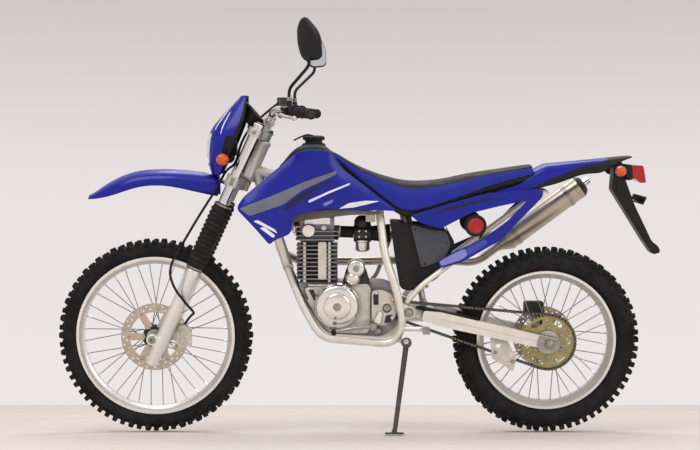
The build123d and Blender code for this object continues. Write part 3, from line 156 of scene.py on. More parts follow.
VINYL = {"grit": 2.2, "cells": True}
MOULDED = {"patch": 50, "grain": 0.3, "grit": 1.4}
STICKER = {"coat": 0.2, "drift": 0.15, "patch": 40}
SMOOTH = {"grain": 0.004, "grit": 9}
CAST = {"patch": 26, "grit": 1.4}
TURNED = {"patch": 24, "grain": 0.2}
MOULDED_LENS = {"coat": 0.5, "drift": 0.14, "patch": 14, "grain": 0.5, "grit": 4, "cells": True}

TYRE = finish("tyre_rubber", (21, 21, 22), 0.8, drift=0.3, patch=60, grain=0.5, grit=2.4)
RUBBER = finish("black_rubber", (22, 22, 23), 0.72, drift=0.25, patch=30, grain=0.35, grit=1.6)
BLUE = finish("blue_plastic", (8, 22, 142), 0.3, coat=0.12, drift=0.08, patch=160, grain=0.05, grit=1.6)
SEAT_BLUE = finish("blue_vinyl", (12, 28, 140), 0.5, patch=70, grain=0.55, sheen=0.12, **VINYL)
SEAT_BLACK = finish("black_vinyl", (15, 15, 16), 0.62, drift=0.2, patch=60, grain=0.6, sheen=0.04, **VINYL)
BLACK = finish("black_plastic", (17, 17, 19), 0.48, drift=0.2, **MOULDED)
GREY = finish("grey_plastic", (70, 72, 80), 0.45, **MOULDED)
BAND = finish("grey_band", (92, 88, 88), 0.45, drift=0.12, patch=50, grain=0.3)
# Dark blue for bands on the blue panels that stand for shadow: painted shadow.
PAINTED_SHADOW_BLUE = finish("blue_shadow", (12, 14, 62), 0.35, coat=0.2, drift=0.12, patch=80)
STRIPE = finish("grey_stripe", (104, 110, 120), 0.34, coat=0.2, drift=0.12, patch=60)
PALE = finish("white_stripe", (224, 226, 238), 0.34, coat=0.2, drift=0.05, patch=50)
FADE = finish("violet_fade", (60, 66, 166), 0.35, **STICKER)
VIOLET = finish("violet_stripe", (126, 128, 196), 0.35, **STICKER)
RIM = finish("rim_alloy", (236, 235, 232), 0.3, metal=0.8, drift=0.05, patch=120, **SMOOTH)
BRIGHT = finish("polished_alloy", (236, 234, 230), 0.16, metal=0.9, drift=0.05, patch=90, painted_shade=14, **SMOOTH)
CHROME = finish("chrome", (228, 228, 228), 0.08, metal=1.0, drift=0.03, patch=90, **SMOOTH)
EXHAUST = finish("exhaust_can", (190, 182, 168), 0.3, metal=0.8, drift=0.12, patch=140, **SMOOTH)
ALLOY = finish("cast_alloy", (208, 204, 196), 0.36, metal=0.75, drift=0.14, grain=0.35, painted_shade=26, **CAST)
FIN = finish("fin_alloy", (146, 144, 148), 0.42, metal=0.7, drift=0.16, grain=0.3, painted_shade=22, **CAST)
DARK_ALLOY = finish("dark_alloy", (62, 60, 58), 0.45, metal=0.7, drift=0.2, patch=24, grain=0.35, painted_shade=14)
FRAME_PAINT = finish(
    "frame_silver", (228, 224, 215), 0.36, metal=0.4, drift=0.07, patch=60, grain=0.12, painted_shade=24
)
STAND = finish("stand_paint", (74, 69, 62), 0.45, metal=0.5, drift=0.2, patch=40, grain=0.2)
SPOKE = finish("spoke_steel", (150, 148, 144), 0.34, metal=0.7, drift=0.15, patch=20)
STEEL = finish("steel", (160, 158, 152), 0.32, metal=0.9, drift=0.15, patch=20, grain=0.15, painted_shade=8)
DISC = finish("disc_steel", (190, 180, 166), 0.28, metal=0.85, drift=0.14, grit=0.9, **TURNED)
GOLD = finish("sprocket_gold", (160, 151, 104), 0.36, metal=0.75, drift=0.16, **TURNED)
CHAIN = finish("chain_steel", (84, 79, 68), 0.42, metal=0.8, drift=0.35, patch=16, grain=0.3, painted_shade=8)
AMBER = finish("amber_lens", (206, 82, 18), 0.15, **MOULDED_LENS)
RED = finish("red_lens", (166, 14, 22), 0.15, **MOULDED_LENS)
LENS = finish(
    "lamp_lens", (204, 212, 220), 0.06, coat=0.8, drift=0.06, patch=24, grain=0.3, grit=7, cells=True
)
MIRROR = finish("mirror_glass", (200, 206, 212), 0.03, metal=1.0, drift=0.02, patch=60, grain=0.0)


# Lines and outlines

ROUTE_STEPS = 6
EASE_REACH = 14
CORNER_SHARE = 0.45


def mirrored(point, side):
    """A point of the left half, on the side that is asked for."""
    return Vector((point[0], side * point[1], point[2]))


def turns(count, shift=0.0):
    """Even angles round a circle."""
    return [2 * math.pi * (i + shift) / count for i in range(count)]


def polar(radius, angle, x=0.0, z=0.0):
    """A 2D point by its radius and angle round (x, z)."""
    return (x + radius * math.cos(angle), z + radius * math.sin(angle))


def around(centre, radius, angle, y=0.0):
    """A point by its radius and angle round a line across the bike, this far to the left."""
    x, z = polar(radius, angle)
    return Vector(centre) + Vector((x, y, z))


def circle(radius, sides, x=0.0, z=0.0):
    """A closed 2D ring."""
    return [polar(radius, angle, x, z) for angle in turns(sides)]


def ring_of(centre, side, other, radius, sides):
    """A closed ring in the plane of two directions."""
    return [centre + (side * math.cos(a) + other * math.sin(a)) * radius for a in turns(sides)]


def flowing(points):
    """A smooth route through points."""
    points = [Vector(p) for p in points]
    ends = [points[0] * 2 - points[1]] + points + [points[-1] * 2 - points[-2]]
    route = []
    for a, b, c, d in zip(ends, ends[1:], ends[2:], ends[3:]):
        for i in range(ROUTE_STEPS):
            t = i / ROUTE_STEPS
            square = (2 * a - 5 * b + 4 * c - d) * t * t
            cube = (3 * b - a - 3 * c + d) * t ** 3
            route.append(0.5 * (2 * b + (c - a) * t + square + cube))
    return route + [points[-1]]


def corner_curve(before, corner, after, cut, steps):
    """The points that round one corner, starting this far from it."""
    back, ahead = before - corner, after - corner
    start = corner + back.normalized() * min(cut, CORNER_SHARE * back.length)
    end = corner + ahead.normalized() * min(cut, CORNER_SHARE * ahead.length)
    shares = [i / steps for i in range(steps + 1)]
    return [start.lerp(corner, t).lerp(corner.lerp(end, t), t) for t in shares]


def rounded(outline, radius, steps=4):
    """A closed outline of 2D points with its corners rounded."""
    outline = [Vector(p) for p in outline]
    result = []
    for before, corner, after in zip(outline[-1:] + outline, outline, outline[1:] + outline[:1]):
        shorter = min((before - corner).length, (after - corner).length)
        result += corner_curve(before, corner, after, min(radius, CORNER_SHARE * shorter), steps)
    return result


def bent(points, cut, steps=ROUTE_STEPS):
    """Straight runs through points, with each corner bent over this length."""
    points = [Vector(p) for p in points]
    route = [points[0]]
    for before, corner, after in zip(points, points[1:], points[2:]):
        route += corner_curve(before, corner, after, cut, steps)
    return route + [points[-1]]


def along(rows, x):
    """The value at x on a broken line of (x, value) rows that run either way."""
    rows = sorted(rows)
    if x <= rows[0][0]:
        return rows[0][1]
    for (x0, v0), (x1, v1) in zip(rows, rows[1:]):
        if x <= x1:
            return v0 + (v1 - v0) * (x - x0) / (x1 - x0)
    return rows[-1][1]


def eased(rows, x):
    """As along(), with its corners smoothed."""
    return sum(along(rows, x + EASE_REACH * k) for k in (-2, -1, 0, 1, 2)) / 5


def signed_power(value, power):
    """A power that keeps the sign."""
    return math.copysign(abs(value) ** power, value)


def bump(distance, width):
    """A smooth swelling: 1 at no distance, fading over a width."""
    return math.exp(-((distance / width) ** 2))


def inside(outline, x, z):
    """Whether a 2D point lies within a closed outline."""
    hit = False
    for (x0, z0), (x1, z1) in zip(outline, outline[1:] + outline[:1]):
        if (z0 > z) != (z1 > z) and x < x0 + (x1 - x0) * (z - z0) / (z1 - z0):
            hit = not hit
    return hit


# Ways to stand a plate: each maps two flat measures and a height to a point


def upright(a, b, height):
    """A plate that stands along the bike, its height to the left."""
    return Vector((a, height, b))


def level(a, b, height):
    """A plate that lies flat."""
    return Vector((a, b, height))


def centred_on(axle):
    """An upright plate with an axle as its centre."""
    def lift(a, b, height):
        return axle + upright(a, b, height)
    return lift


# Shapes

TRIANGULATION_GAP = 1e-4
SKIN_EDGE_GAP = 0.45
LATHE_CORE = 0.02
BEVEL_FROM = math.radians(38)


class Shape:
    """Primitives that are joined into one piece of the scene."""

    def __init__(self):
        self.verts, self.faces, self.looks = [], [], []

    def put(self, verts, faces, look):
        """Points and the faces between them, all of one look."""
        base = len(self.verts)
        self.verts += [Vector(v) for v in verts]
        self.faces += [tuple(base + i for i in face) for face in faces]
        self.looks += [look] * len(faces)

    def rings(self, rings, look, loop=True, cap=True, close=False):
        """Faces between rings of points. loop joins the ends of a ring, close the last ring to the first."""
        count = len(rings[0])
        span = count if loop else count - 1
        faces = []
        for r in range(len(rings) if close else len(rings) - 1):
            low, high = r * count, (r + 1) % len(rings) * count
            for i in range(span):
                j = (i + 1) % count
                faces.append((low + i, low + j, high + j, high + i))
        if cap and loop and not close:
            faces.append(tuple(reversed(range(count))))
            faces.append(tuple(range((len(rings) - 1) * count, len(rings) * count)))
        self.put([p for ring in rings for p in ring], faces, look)

    def tube(self, points, radius, look, sides=14, smooth=False):
        """A round bar along a route. radius is a number, a (first, last) pair or a function of the share."""
        route = flowing(points) if smooth else [Vector(p) for p in points]
        last = len(route) - 1
        rings = []
        side = None
        for i, p in enumerate(route):
            ahead = (route[min(i + 1, last)] - route[max(i - 1, 0)]).normalized()
            side = side or ahead.orthogonal().normalized()
            side = (side - ahead * side.dot(ahead)).normalized()
            size = radius
            if callable(radius):
                size = radius(i / last)
            elif isinstance(radius, tuple):
                size = radius[0] + (radius[1] - radius[0]) * i / last
            rings.append(ring_of(p, side, ahead.cross(side), size, sides))
        self.rings(rings, look)

    def lathe(self, origin, axis, profile, look, sides=48, close=False):
        """A turned body: profile is (distance along the axis, radius) rows."""
        origin, axis = Vector(origin), Vector(axis).normalized()
        side = axis.orthogonal().normalized()
        other = axis.cross(side)
        rings = [
            ring_of(origin + axis * reach, side, other, max(r, LATHE_CORE), sides) for reach, r in profile
        ]
        self.rings(rings, look, close=close)

    def block(self, centre, size, look, turn=None, top=1.0):
        """A box by its centre and three sizes. turn is a rotation, and top narrows its upper face."""
        turn = turn or Matrix.Identity(3)
        a, b, c = (s / 2 for s in size)
        corners = [(-a, -b, -c), (a, -b, -c), (a, b, -c), (-a, b, -c)]
        corners += [(x * top, y * top, c) for x, y, _ in corners]
        verts = [Vector(centre) + turn @ Vector(p) for p in corners]
        faces = [(3, 2, 1, 0), (4, 5, 6, 7), (0, 1, 5, 4), (1, 2, 6, 5), (2, 3, 7, 6), (3, 0, 4, 7)]
        self.put(verts, faces, look)

    def plate(self, outline, low, high, look, holes=(), lift=upright):
        """A flat plate from 2D loops, between two heights. lift stands it in place."""
        loops = [[Vector(p) for p in loop] for loop in (outline, *holes)]
        flat = [p for loop in loops for p in loop]
        edges = []
        start = 0
        for loop in loops:
            edges += [(start + i, start + (i + 1) % len(loop)) for i in range(len(loop))]
            start += len(loop)
        points, _, faces, *_ = geometry.delaunay_2d_cdt(flat, edges, [], 1, TRIANGULATION_GAP)
        cuts = [[(p.x, p.y) for p in loop] for loop in loops[1:]]
        kept = []
        for face in faces:
            middle = sum((points[i] for i in face), Vector((0, 0))) / len(face)
            if not any(inside(cut, middle.x, middle.y) for cut in cuts):
                kept.append(tuple(face))
        self.put([lift(p.x, p.y, low) for p in points], kept, look)
        self.put([lift(p.x, p.y, high) for p in points], [tuple(reversed(f)) for f in kept], look)
        for loop in loops:
            self.rings([[lift(p.x, p.y, h) for p in loop] for h in (low, high)], look, cap=False)

    def skin(self, outline, depth, look, thick, step, side):
        """A curved panel: a side-view outline laid on the surface y = depth(x, z), with a wall behind it."""
        outline = [Vector(p) for p in outline]
        dense = []
        for p, q in zip(outline, outline[1:] + outline[:1]):
            parts = max(1, int((q - p).length / step))
            dense += [p + (q - p) * i / parts for i in range(parts)]
        ring = [(p.x, p.y) for p in dense]
        low = [min(p[k] for p in ring) for k in (0, 1)]
        high = [max(p[k] for p in ring) for k in (0, 1)]
        inner = []
        x = low[0] + step / 2
        while x < high[0]:
            z = low[1] + step / 2
            while z < high[1]:
                near = min((x - a) ** 2 + (z - b) ** 2 for a, b in ring)
                if inside(ring, x, z) and near > (SKIN_EDGE_GAP * step) ** 2:
                    inner.append(Vector((x, z)))
                z += step
            x += step
        edges = [(i, (i + 1) % len(dense)) for i in range(len(dense))]
        points, _, faces, *_ = geometry.delaunay_2d_cdt(dense + inner, edges, [], 1, TRIANGULATION_GAP)
        walls = [
            [[Vector((p.x, side * (depth(p.x, p.y) - back), p.y)) for p in loop] for back in (0, thick)]
            for loop in (points, dense)
        ]
        self.put(walls[0][0], [tuple(f) for f in faces], look)
        self.put(walls[0][1], [tuple(reversed(f)) for f in faces], look)
        self.rings(walls[1], look, cap=False)

    def bolt(self, at, axis, radius, look=STEEL, height=5):
        """A hexagon head with its washer."""
        self.lathe(at, axis, [(-1, radius * 1.35), (1.2, radius * 1.35)], look, sides=14)
        self.lathe(at, axis, [(1.3, radius), (height - 0.8, radius), (height, radius * 0.82)], look, sides=6)

    def build(
        self, name, body, replaces=(), bevel=0.0, segments=2, solid=0.0, sharp=40, merge=0.01
    ):
        """The finished piece, riding on a body. bevel, solid and merge are in mm, sharp in degrees."""
        data = bpy.data.meshes.new(name)
        data.from_pydata([TO_ROW @ v for v in self.verts], [], self.faces)
        looks = list(dict.fromkeys(self.looks))
        for look in looks:
            data.materials.append(look)
        data.polygons.foreach_set("material_index", [looks.index(look) for look in self.looks])
        work = bmesh.new()
        work.from_mesh(data)
        bmesh.ops.remove_doubles(work, verts=work.verts, dist=merge * MM)
        bmesh.ops.recalc_face_normals(work, faces=work.faces)
        work.to_mesh(data)
        work.free()
        data.shade_smooth()
        data.set_sharp_from_angle(angle=math.radians(sharp))
        piece = bpy.data.objects.new(name, data)
        bpy.context.scene.collection.objects.link(piece)
        if solid:
            wall = piece.modifiers.new("wall", "SOLIDIFY")
            wall.thickness = solid * MM
            wall.offset = -1
        if bevel:
            edge = piece.modifiers.new("edge", "BEVEL")
            edge.width = bevel * MM
            edge.segments = segments
            edge.limit_method = "ANGLE"
            edge.angle_limit = BEVEL_FROM
        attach(piece, body)
        if replaces:
            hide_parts(*replaces)
        return piece


# Wheels: radii end in _r, half widths in _half. hub_rows are (y, radius)

LUG_ROWS = 34
LUG_LENGTH = 19
LUG_TOP = 0.84
SPOKES_A_SIDE = 18
SPOKE_LEAD = math.radians(40)
SPOKE_R = 1.75
NIPPLE_R = 3.1
NIPPLE_LENGTH = 15
DISC_THICK = 4
DISC_BORE_R = 29
DISC_ARMS = 6
DISC_ARM_WIDTH = 25
DISC_HOLES = 24
DISC_HOLE_R = 3.4
RIVET_ROWS = [(-0.5, 5), (1.0, 5), (1.4, 4)]

FRONT_WHEEL = SimpleNamespace(
    name="front", axle=FRONT_AXLE,
    tip_r=349, tyre_half=41, crown_r=334, crown_half=27, side_r=313, bead_half=19,
    lug_width=42, shoulder_y=28, shoulder_r=321, shoulder_tilt=42,
    rim_r=281, rim_half=23, rim_inner_r=258,
    disc_y=46, disc_r=120, disc_ring_r=88, disc_boss_r=43,
    flange_r=33, flange_y=29,
    hub_rows=[
        (-36, 9), (-36, 22), (-34, 24), (-33, 30), (-33, 37), (-32, 38), (-26, 38), (-25, 37), (-22, 27),
        (-14, 24), (14, 24), (22, 27), (25, 37), (26, 38), (32, 38), (33, 37), (36, 31), (40, 44), (45.6, 44),
        (45.6, 28.6), (56, 27), (56, 9),
    ],
)
REAR_WHEEL = SimpleNamespace(
    name="rear", axle=REAR_AXLE,
    tip_r=334, tyre_half=55, crown_r=316, crown_half=38, side_r=286, bead_half=26,
    lug_width=54, shoulder_y=36, shoulder_r=298, shoulder_tilt=40,
    rim_r=246, rim_half=32, rim_inner_r=222,
    disc_y=-66, disc_r=110, disc_ring_r=82, disc_boss_r=45,
    flange_r=40, flange_y=34,
    hub_rows=[
        (-72, 9), (-72, 28.6), (-61.8, 28.6), (-61.8, 46), (-50, 46), (-48, 32), (-38, 32), (-38, 45),
        (-37, 46), (-31, 46), (-30, 45), (-26, 33), (-16, 30), (16, 30), (26, 33), (30, 45), (31, 46),
        (37, 46), (38, 45), (40, 42), (52, 44), (52, 56), (70.6, 56), (70.6, 41.6), (80, 41), (80, 9),
    ],
)


def both_ways(half, middle=()):
    """A profile from its left half, mirrored to the right."""
    return [(-y, r) for y, r in half] + list(middle) + half[::-1]


def knob(shape, axle, angle, y, root, lean, size, top):
    """A lug of the tread, leaning out from the tyre's middle."""
    out = Vector((math.cos(angle), 0, math.sin(angle)))
    ahead = Vector((-math.sin(angle), 0, math.cos(angle)))
    tall = (out * math.cos(lean) + LEFT * math.sin(lean)).normalized()
    turn = Matrix((ahead, tall.cross(ahead), tall)).transposed()
    foot = axle + out * root + LEFT * y
    shape.block(foot + tall * size[2] / 2, size, TYRE, turn, top)


def tyre(wheel):
    """A tyre with two centre rows, two more half a pitch on, shoulder lugs and low side lugs."""
    shape = Shape()
    half, side_r, crown_r = wheel.tyre_half, wheel.side_r, wheel.crown_r
    bead, bead_r = wheel.bead_half, wheel.rim_r
    flank = [
        (bead - 3, bead_r - 2), (bead + 3, bead_r + 5), (half - 5, (bead_r + side_r) / 2 - 2),
        (half - 0.6, side_r - 6), (half - 1, side_r + 4), (half - 7, (side_r + crown_r) / 2 + 2),
        (wheel.crown_half - 4, crown_r - 3), (wheel.crown_half * 0.5, crown_r + 0.5),
    ]
    profile = both_ways(flank, [(0, crown_r + 1)])
    profile += [(bead - 4, bead_r + 0.6), (4 - bead, bead_r + 0.6)]
    shape.lathe(wheel.axle, LEFT, profile, TYRE, sides=96, close=True)
    wide, tip = wheel.lug_width, wheel.tip_r
    tilt = math.radians(wheel.shoulder_tilt)
    lugs = (  # share of a pitch, y, root radius, lean, (length, width, height), top
        (0.0, wide * 0.27, tip - 20, 0.1, (LUG_LENGTH, wide * 0.44, 19.2), LUG_TOP),
        (0.5, wide * 0.6, tip - 24, 0.3, (LUG_LENGTH, wide * 0.4, 19.5), LUG_TOP),
        (0.0, wheel.shoulder_y, wheel.shoulder_r, tilt, (LUG_LENGTH * 0.96, 19, 19), LUG_TOP),
        (0.5, half - 4, side_r + 2, 1.15, (LUG_LENGTH * 0.7, 13, 6.4), 0.7),
    )
    for side in SIDES:
        for shift, y, root, lean, size, top in lugs:
            for angle in turns(LUG_ROWS, shift):
                knob(shape, wheel.axle, angle, side * y, root, side * lean, size, top)
    name = wheel.name
    shape.build(f"{name}_tyre_tread", f"{name}_wheel", [f"{name}_tyre"], bevel=1.3, segments=1)


def rim(wheel):
    """A rolled rim with its two lips."""
    shape = Shape()
    half, outer, inner = wheel.rim_half, wheel.rim_r, wheel.rim_inner_r
    profile = [
        (half, outer - 0.4), (half + 2, outer + 4), (half + 4, outer + 3), (half + 4, outer - 6),
        (half - 1, outer - 9), (half * 0.62, inner + 7), (half * 0.4, inner),
    ]
    shape.lathe(wheel.axle, LEFT, both_ways(profile), RIM, sides=112, close=True)
    name = wheel.name
    shape.build(f"{name}_rim_section", f"{name}_wheel", [f"{name}_rim"], sharp=32)


def brake_disc(wheel):
    """A drilled ring on spider arms, riveted to its boss."""
    shape = Shape()
    lift = centred_on(wheel.axle)
    outer, ring, boss = wheel.disc_r, wheel.disc_ring_r, wheel.disc_boss_r
    low, high = wheel.disc_y, wheel.disc_y + DISC_THICK
    holes = [circle(ring, 72)]
    for shift, radius in ((0.0, outer - 9), (0.5, outer - 20)):
        holes += [circle(DISC_HOLE_R, 8, *polar(radius, a)) for a in turns(DISC_HOLES, shift)]
    shape.plate(circle(outer, 96), low, high, DISC, holes, lift)
    shape.plate(circle(boss, 48), low + 0.4, high - 0.4, DARK_ALLOY, [circle(DISC_BORE_R, 36)], lift)
    arm_size = (ring - boss + 12, DISC_THICK - 0.6, DISC_ARM_WIDTH)
    for a in turns(DISC_ARMS):
        centre = around(wheel.axle, (ring + boss) / 2, a, (low + high) / 2)
        shape.block(centre, arm_size, DISC, Matrix.Rotation(-a, 3, "Y"))
        for radius in (boss - 7, ring + 4):
            shape.lathe(around(wheel.axle, radius, a, high), LEFT, RIVET_ROWS, STEEL, sides=12)
    name = wheel.name
    shape.build(f"{name}_disc_drilled", f"{name}_wheel", [f"{name}_disc"])


def laced_hub(wheel):
    """A turned hub with crossed spokes and their nipples."""
    shape = Shape()
    shape.lathe(wheel.axle, LEFT, wheel.hub_rows, ALLOY, close=True)
    for side in SIDES:
        head_y = side * wheel.rim_half * 0.2
        for i, start in enumerate(turns(SPOKES_A_SIDE, 0.25 * side)):
            way = 1 if i % 2 else -1
            foot = around(wheel.axle, wheel.flange_r, start, side * (wheel.flange_y + way * 2.4))
            head = around(wheel.axle, wheel.rim_inner_r, start + way * SPOKE_LEAD, head_y)
            inward = (foot - head).normalized()
            shape.tube([foot, head], SPOKE_R, SPOKE, sides=6)
            shape.tube([head, head + inward * NIPPLE_LENGTH], NIPPLE_R, BRIGHT, sides=6)
            shape.lathe(foot - LEFT * 2.5, LEFT, [(0, 3.6), (5, 3.6)], SPOKE, sides=6)
    name = wheel.name
    shape.build(f"{name}_hub_laced", f"{name}_wheel", [f"{name}_hub"], sharp=30)


for wheel in (FRONT_WHEEL, REAR_WHEEL):
    tyre(wheel)
    rim(wheel)
    brake_disc(wheel)
    laced_hub(wheel)

# Sprockets and chain

CHAIN_Y = 74
CHAIN_PITCH = 12.7
SPROCKET_HALF = 3
REAR_TEETH, FRONT_TEETH = 48, 13
REAR_PITCH_R = CHAIN_PITCH / 2 / math.sin(math.pi / REAR_TEETH)
FRONT_PITCH_R = CHAIN_PITCH / 2 / math.sin(math.pi / FRONT_TEETH)
COUNTERSHAFT = Vector((-128, 0, 458))
REAR_TOOTH = [  # share of a pitch, height over the pitch circle
    (-0.34, -5), (-0.24, -4.4), (-0.13, 2.4), (-0.08, 3.4), (0.08, 3.4), (0.13, 2.4), (0.24, -4.4),
    (0.34, -5),
]
FRONT_TOOTH = [(-0.3, -6), (-0.12, 2.4), (0.12, 2.4), (0.3, -6)]
SPROCKET_WINDOWS = 6
LINK_R, LINK_WAIST = 5.2, 3.6
LINK_ARC_STEPS = 4
INNER_PLATE, OUTER_PLATE = (4.3, 6.1), (6.3, 8.2)
CHAIN_ARC_STEPS = 59


def toothed(count, pitch_r, tooth):
    """The outline of a sprocket."""
    return [polar(pitch_r + r, 2 * math.pi * (i + share) / count) for i in range(count) for share, r in tooth]


def rear_sprocket():
    """A toothed ring with windows, bolted to the hub."""
    shape = Shape()
    holes = [circle(42, 36)]
    for a in turns(SPROCKET_WINDOWS):
        arc = [a + math.radians(d) for d in range(-19, 20, 3)]
        window = [polar(83, t) for t in arc] + [polar(66, t) for t in reversed(arc[2:-2])]
        holes.append(rounded(window, 4, 3))
        holes.append(circle(4.2, 12, *polar(76, a + math.pi / SPROCKET_WINDOWS)))
    outline = toothed(REAR_TEETH, REAR_PITCH_R, REAR_TOOTH)
    low, high = CHAIN_Y - SPROCKET_HALF, CHAIN_Y + SPROCKET_HALF
    shape.plate(outline, low, high, GOLD, holes, centred_on(REAR_AXLE))
    nut = [(-1, 9), (1.6, 9), (1.7, 7), (7, 7), (7.4, 6)]
    for a in turns(SPROCKET_WINDOWS, 0.5):
        shape.lathe(around(REAR_AXLE, 52, a, high), LEFT, nut, STEEL, sides=6)
    shape.build("rear_sprocket_cut", "rear_wheel", ["rear_sprocket"])


def chain_pins():
    """Pitch points of the chain round both sprockets, as (x, z)."""
    front, rear = COUNTERSHAFT.xz, REAR_AXLE.xz
    line = rear - front
    heading = math.atan2(line.y, line.x)
    opening = math.acos((FRONT_PITCH_R - REAR_PITCH_R) / line.length)
    path = []
    for centre, radius, begin, end in (
        (front, FRONT_PITCH_R, heading + opening, heading + 2 * math.pi - opening),
        (rear, REAR_PITCH_R, heading - opening, heading + opening),
    ):
        for i in range(CHAIN_ARC_STEPS + 1):
            path.append(Vector(polar(radius, begin + (end - begin) * i / CHAIN_ARC_STEPS, *centre)))
    path.append(path[0])
    lengths = [0]
    for p, q in zip(path, path[1:]):
        lengths.append(lengths[-1] + (q - p).length)
    count = 2 * round(lengths[-1] / CHAIN_PITCH / 2)
    points = []
    leg = 0
    for i in range(count):
        want = lengths[-1] * i / count
        while lengths[leg + 1] < want:
            leg += 1
        share = (want - lengths[leg]) / (lengths[leg + 1] - lengths[leg])
        points.append(path[leg].lerp(path[leg + 1], share))
    return points


def link_outline(p, q):
    """A waisted link plate from one pin to the next."""
    way = (q - p).normalized()
    across = Vector((-way.y, way.x))
    outline = []
    for centre, turn, waist in ((p, math.pi / 2, -LINK_WAIST), (q, -math.pi / 2, LINK_WAIST)):
        for k in range(LINK_ARC_STEPS + 1):
            a = turn + math.pi * k / LINK_ARC_STEPS
            outline.append(centre + (way * math.cos(a) + across * math.sin(a)) * LINK_R)
        outline.append((p + q) / 2 + across * waist)
    return outline


def roller_chain():
    """Inner and outer link plates in turn, with rollers and pins."""
    shape = Shape()
    pins = chain_pins()
    for i, (p, q) in enumerate(zip(pins, pins[1:] + pins[:1])):
        outline = link_outline(p, q)
        near, far = OUTER_PLATE if i % 2 else INNER_PLATE
        for side in SIDES:
            heights = sorted((CHAIN_Y + side * near, CHAIN_Y + side * far))
            shape.rings([[upright(v.x, v.y, h) for v in outline] for h in heights], CHAIN)
        at = upright(p.x, p.y, CHAIN_Y)
        shape.lathe(at, LEFT, [(-4.2, 3.9), (4.2, 3.9)], STEEL, sides=8)
        shape.lathe(at, LEFT, [(-8.5, 1.9), (8.5, 1.9)], STEEL, sides=6)
    shape.build("chain_links", "frame", ["chain"])


rear_sprocket()
roller_chain()

# Fork, handlebar and controls

LEG_U = -32
STEER_U = -66
FORK_HALF = 95
BOOT_FOLDS = 13
BOOT_PITCH = 17
BOOT_FROM = 302
GRIP_RIBS = 17
GRIP_PITCH = 6
BAR_CENTRE = Vector((290, 0, 1114))
BAR_FOOT = Vector((290, 72, 1114))
BAR_BEND = Vector((262, 150, 1160))
BAR_END = Vector((130, 405, 1142))
GRIP_WAY = (BAR_END - BAR_BEND).normalized()
MIRROR_TURN = math.radians(48)
MIRROR_LEAF = rounded(
    [
        (-52, -52), (-36, -64), (22, -68), (42, -52), (56, -8), (56, 40), (44, 66), (26, 78), (10, 76),
        (-34, 36), (-50, 6),
    ],
    16,
)
MIRROR_HULL = [  # distance behind the glass, share of the outline
    (0, 0.965), (1.5, 1.0), (5, 1.0), (9, 0.95), (12.5, 0.84), (15, 0.66), (16, 0.4), (16.2, 0.1),
]


def fork_sliders():
    """Two cast legs with axle eyes, clamp bolts and lugs."""
    shape = Shape()
    leg = [
        (-88, 15), (-86, 20), (-78, 22), (-30, 23), (-20, 26), (246, 26), (252, 28.5), (278, 28.5),
        (286, 26),
    ]
    eye = [(-16, 18), (-15, 20), (27, 20), (28, 18.6)]
    for side in SIDES:
        v = side * FORK_HALF
        shape.lathe(fork(LEG_U, v, 0), FORK_Z, leg, RIM, sides=32)
        shape.lathe(FRONT_AXLE + LEFT * v, LEFT, eye, RIM, sides=28)
        shape.block(fork(LEG_U / 2, side * 101, 0), (30, 42, 34), RIM, FORK_TURN)
        for w in (-11, 11):
            shape.bolt(fork(6, side * 101, w), FORK_X, 4.5)
        for w in (60, 150):
            shape.block(fork(LEG_U, v - side * 26, w), (14, 8, 30), RIM, FORK_TURN, 0.8)
    shape.build("fork_slider_castings", "steering", ["fork_sliders"], bevel=1.5)


def fork_tubes():
    """Two chromed tubes with their top caps."""
    shape = Shape()
    tube = [(286, 20.5), (838, 20.5), (838, 22), (845, 22), (846, 20)]
    for side in SIDES:
        foot = fork(LEG_U, side * FORK_HALF, 0)
        shape.lathe(foot, FORK_Z, tube, CHROME, sides=32)
        shape.lathe(foot, FORK_Z, [(846, 12), (852, 12), (853, 11)], STEEL, sides=6)
    shape.build("fork_tubes_chromed", "steering", ["fork_tubes"])


def fork_boots():
    """Two pleated rubber boots with a clip at each end."""
    shape = Shape()
    rows = [(286.4, 29), (294, 30.5), (300, 31)]
    for i in range(BOOT_FOLDS):
        base = BOOT_FROM + i * BOOT_PITCH
        rows += [(base + up, r) for up, r in ((0, 31), (4, 34.2), (8, 35), (12, 34.2), (15.6, 30.6))]
    rows += [(526, 30), (534, 28), (540, 27.5), (540, 21)]
    clip = [(0, 29), (0, 31.4), (6, 31.4), (6, 29)]
    for side in SIDES:
        foot = fork(LEG_U, side * FORK_HALF, 0)
        shape.lathe(foot, FORK_Z, rows, RUBBER, sides=36)
        for w in (289, 531):
            shape.lathe(foot + FORK_Z * w, FORK_Z, clip, STEEL, sides=32)
    shape.build("fork_gaiters", "steering", ["fork_boots"], sharp=60)


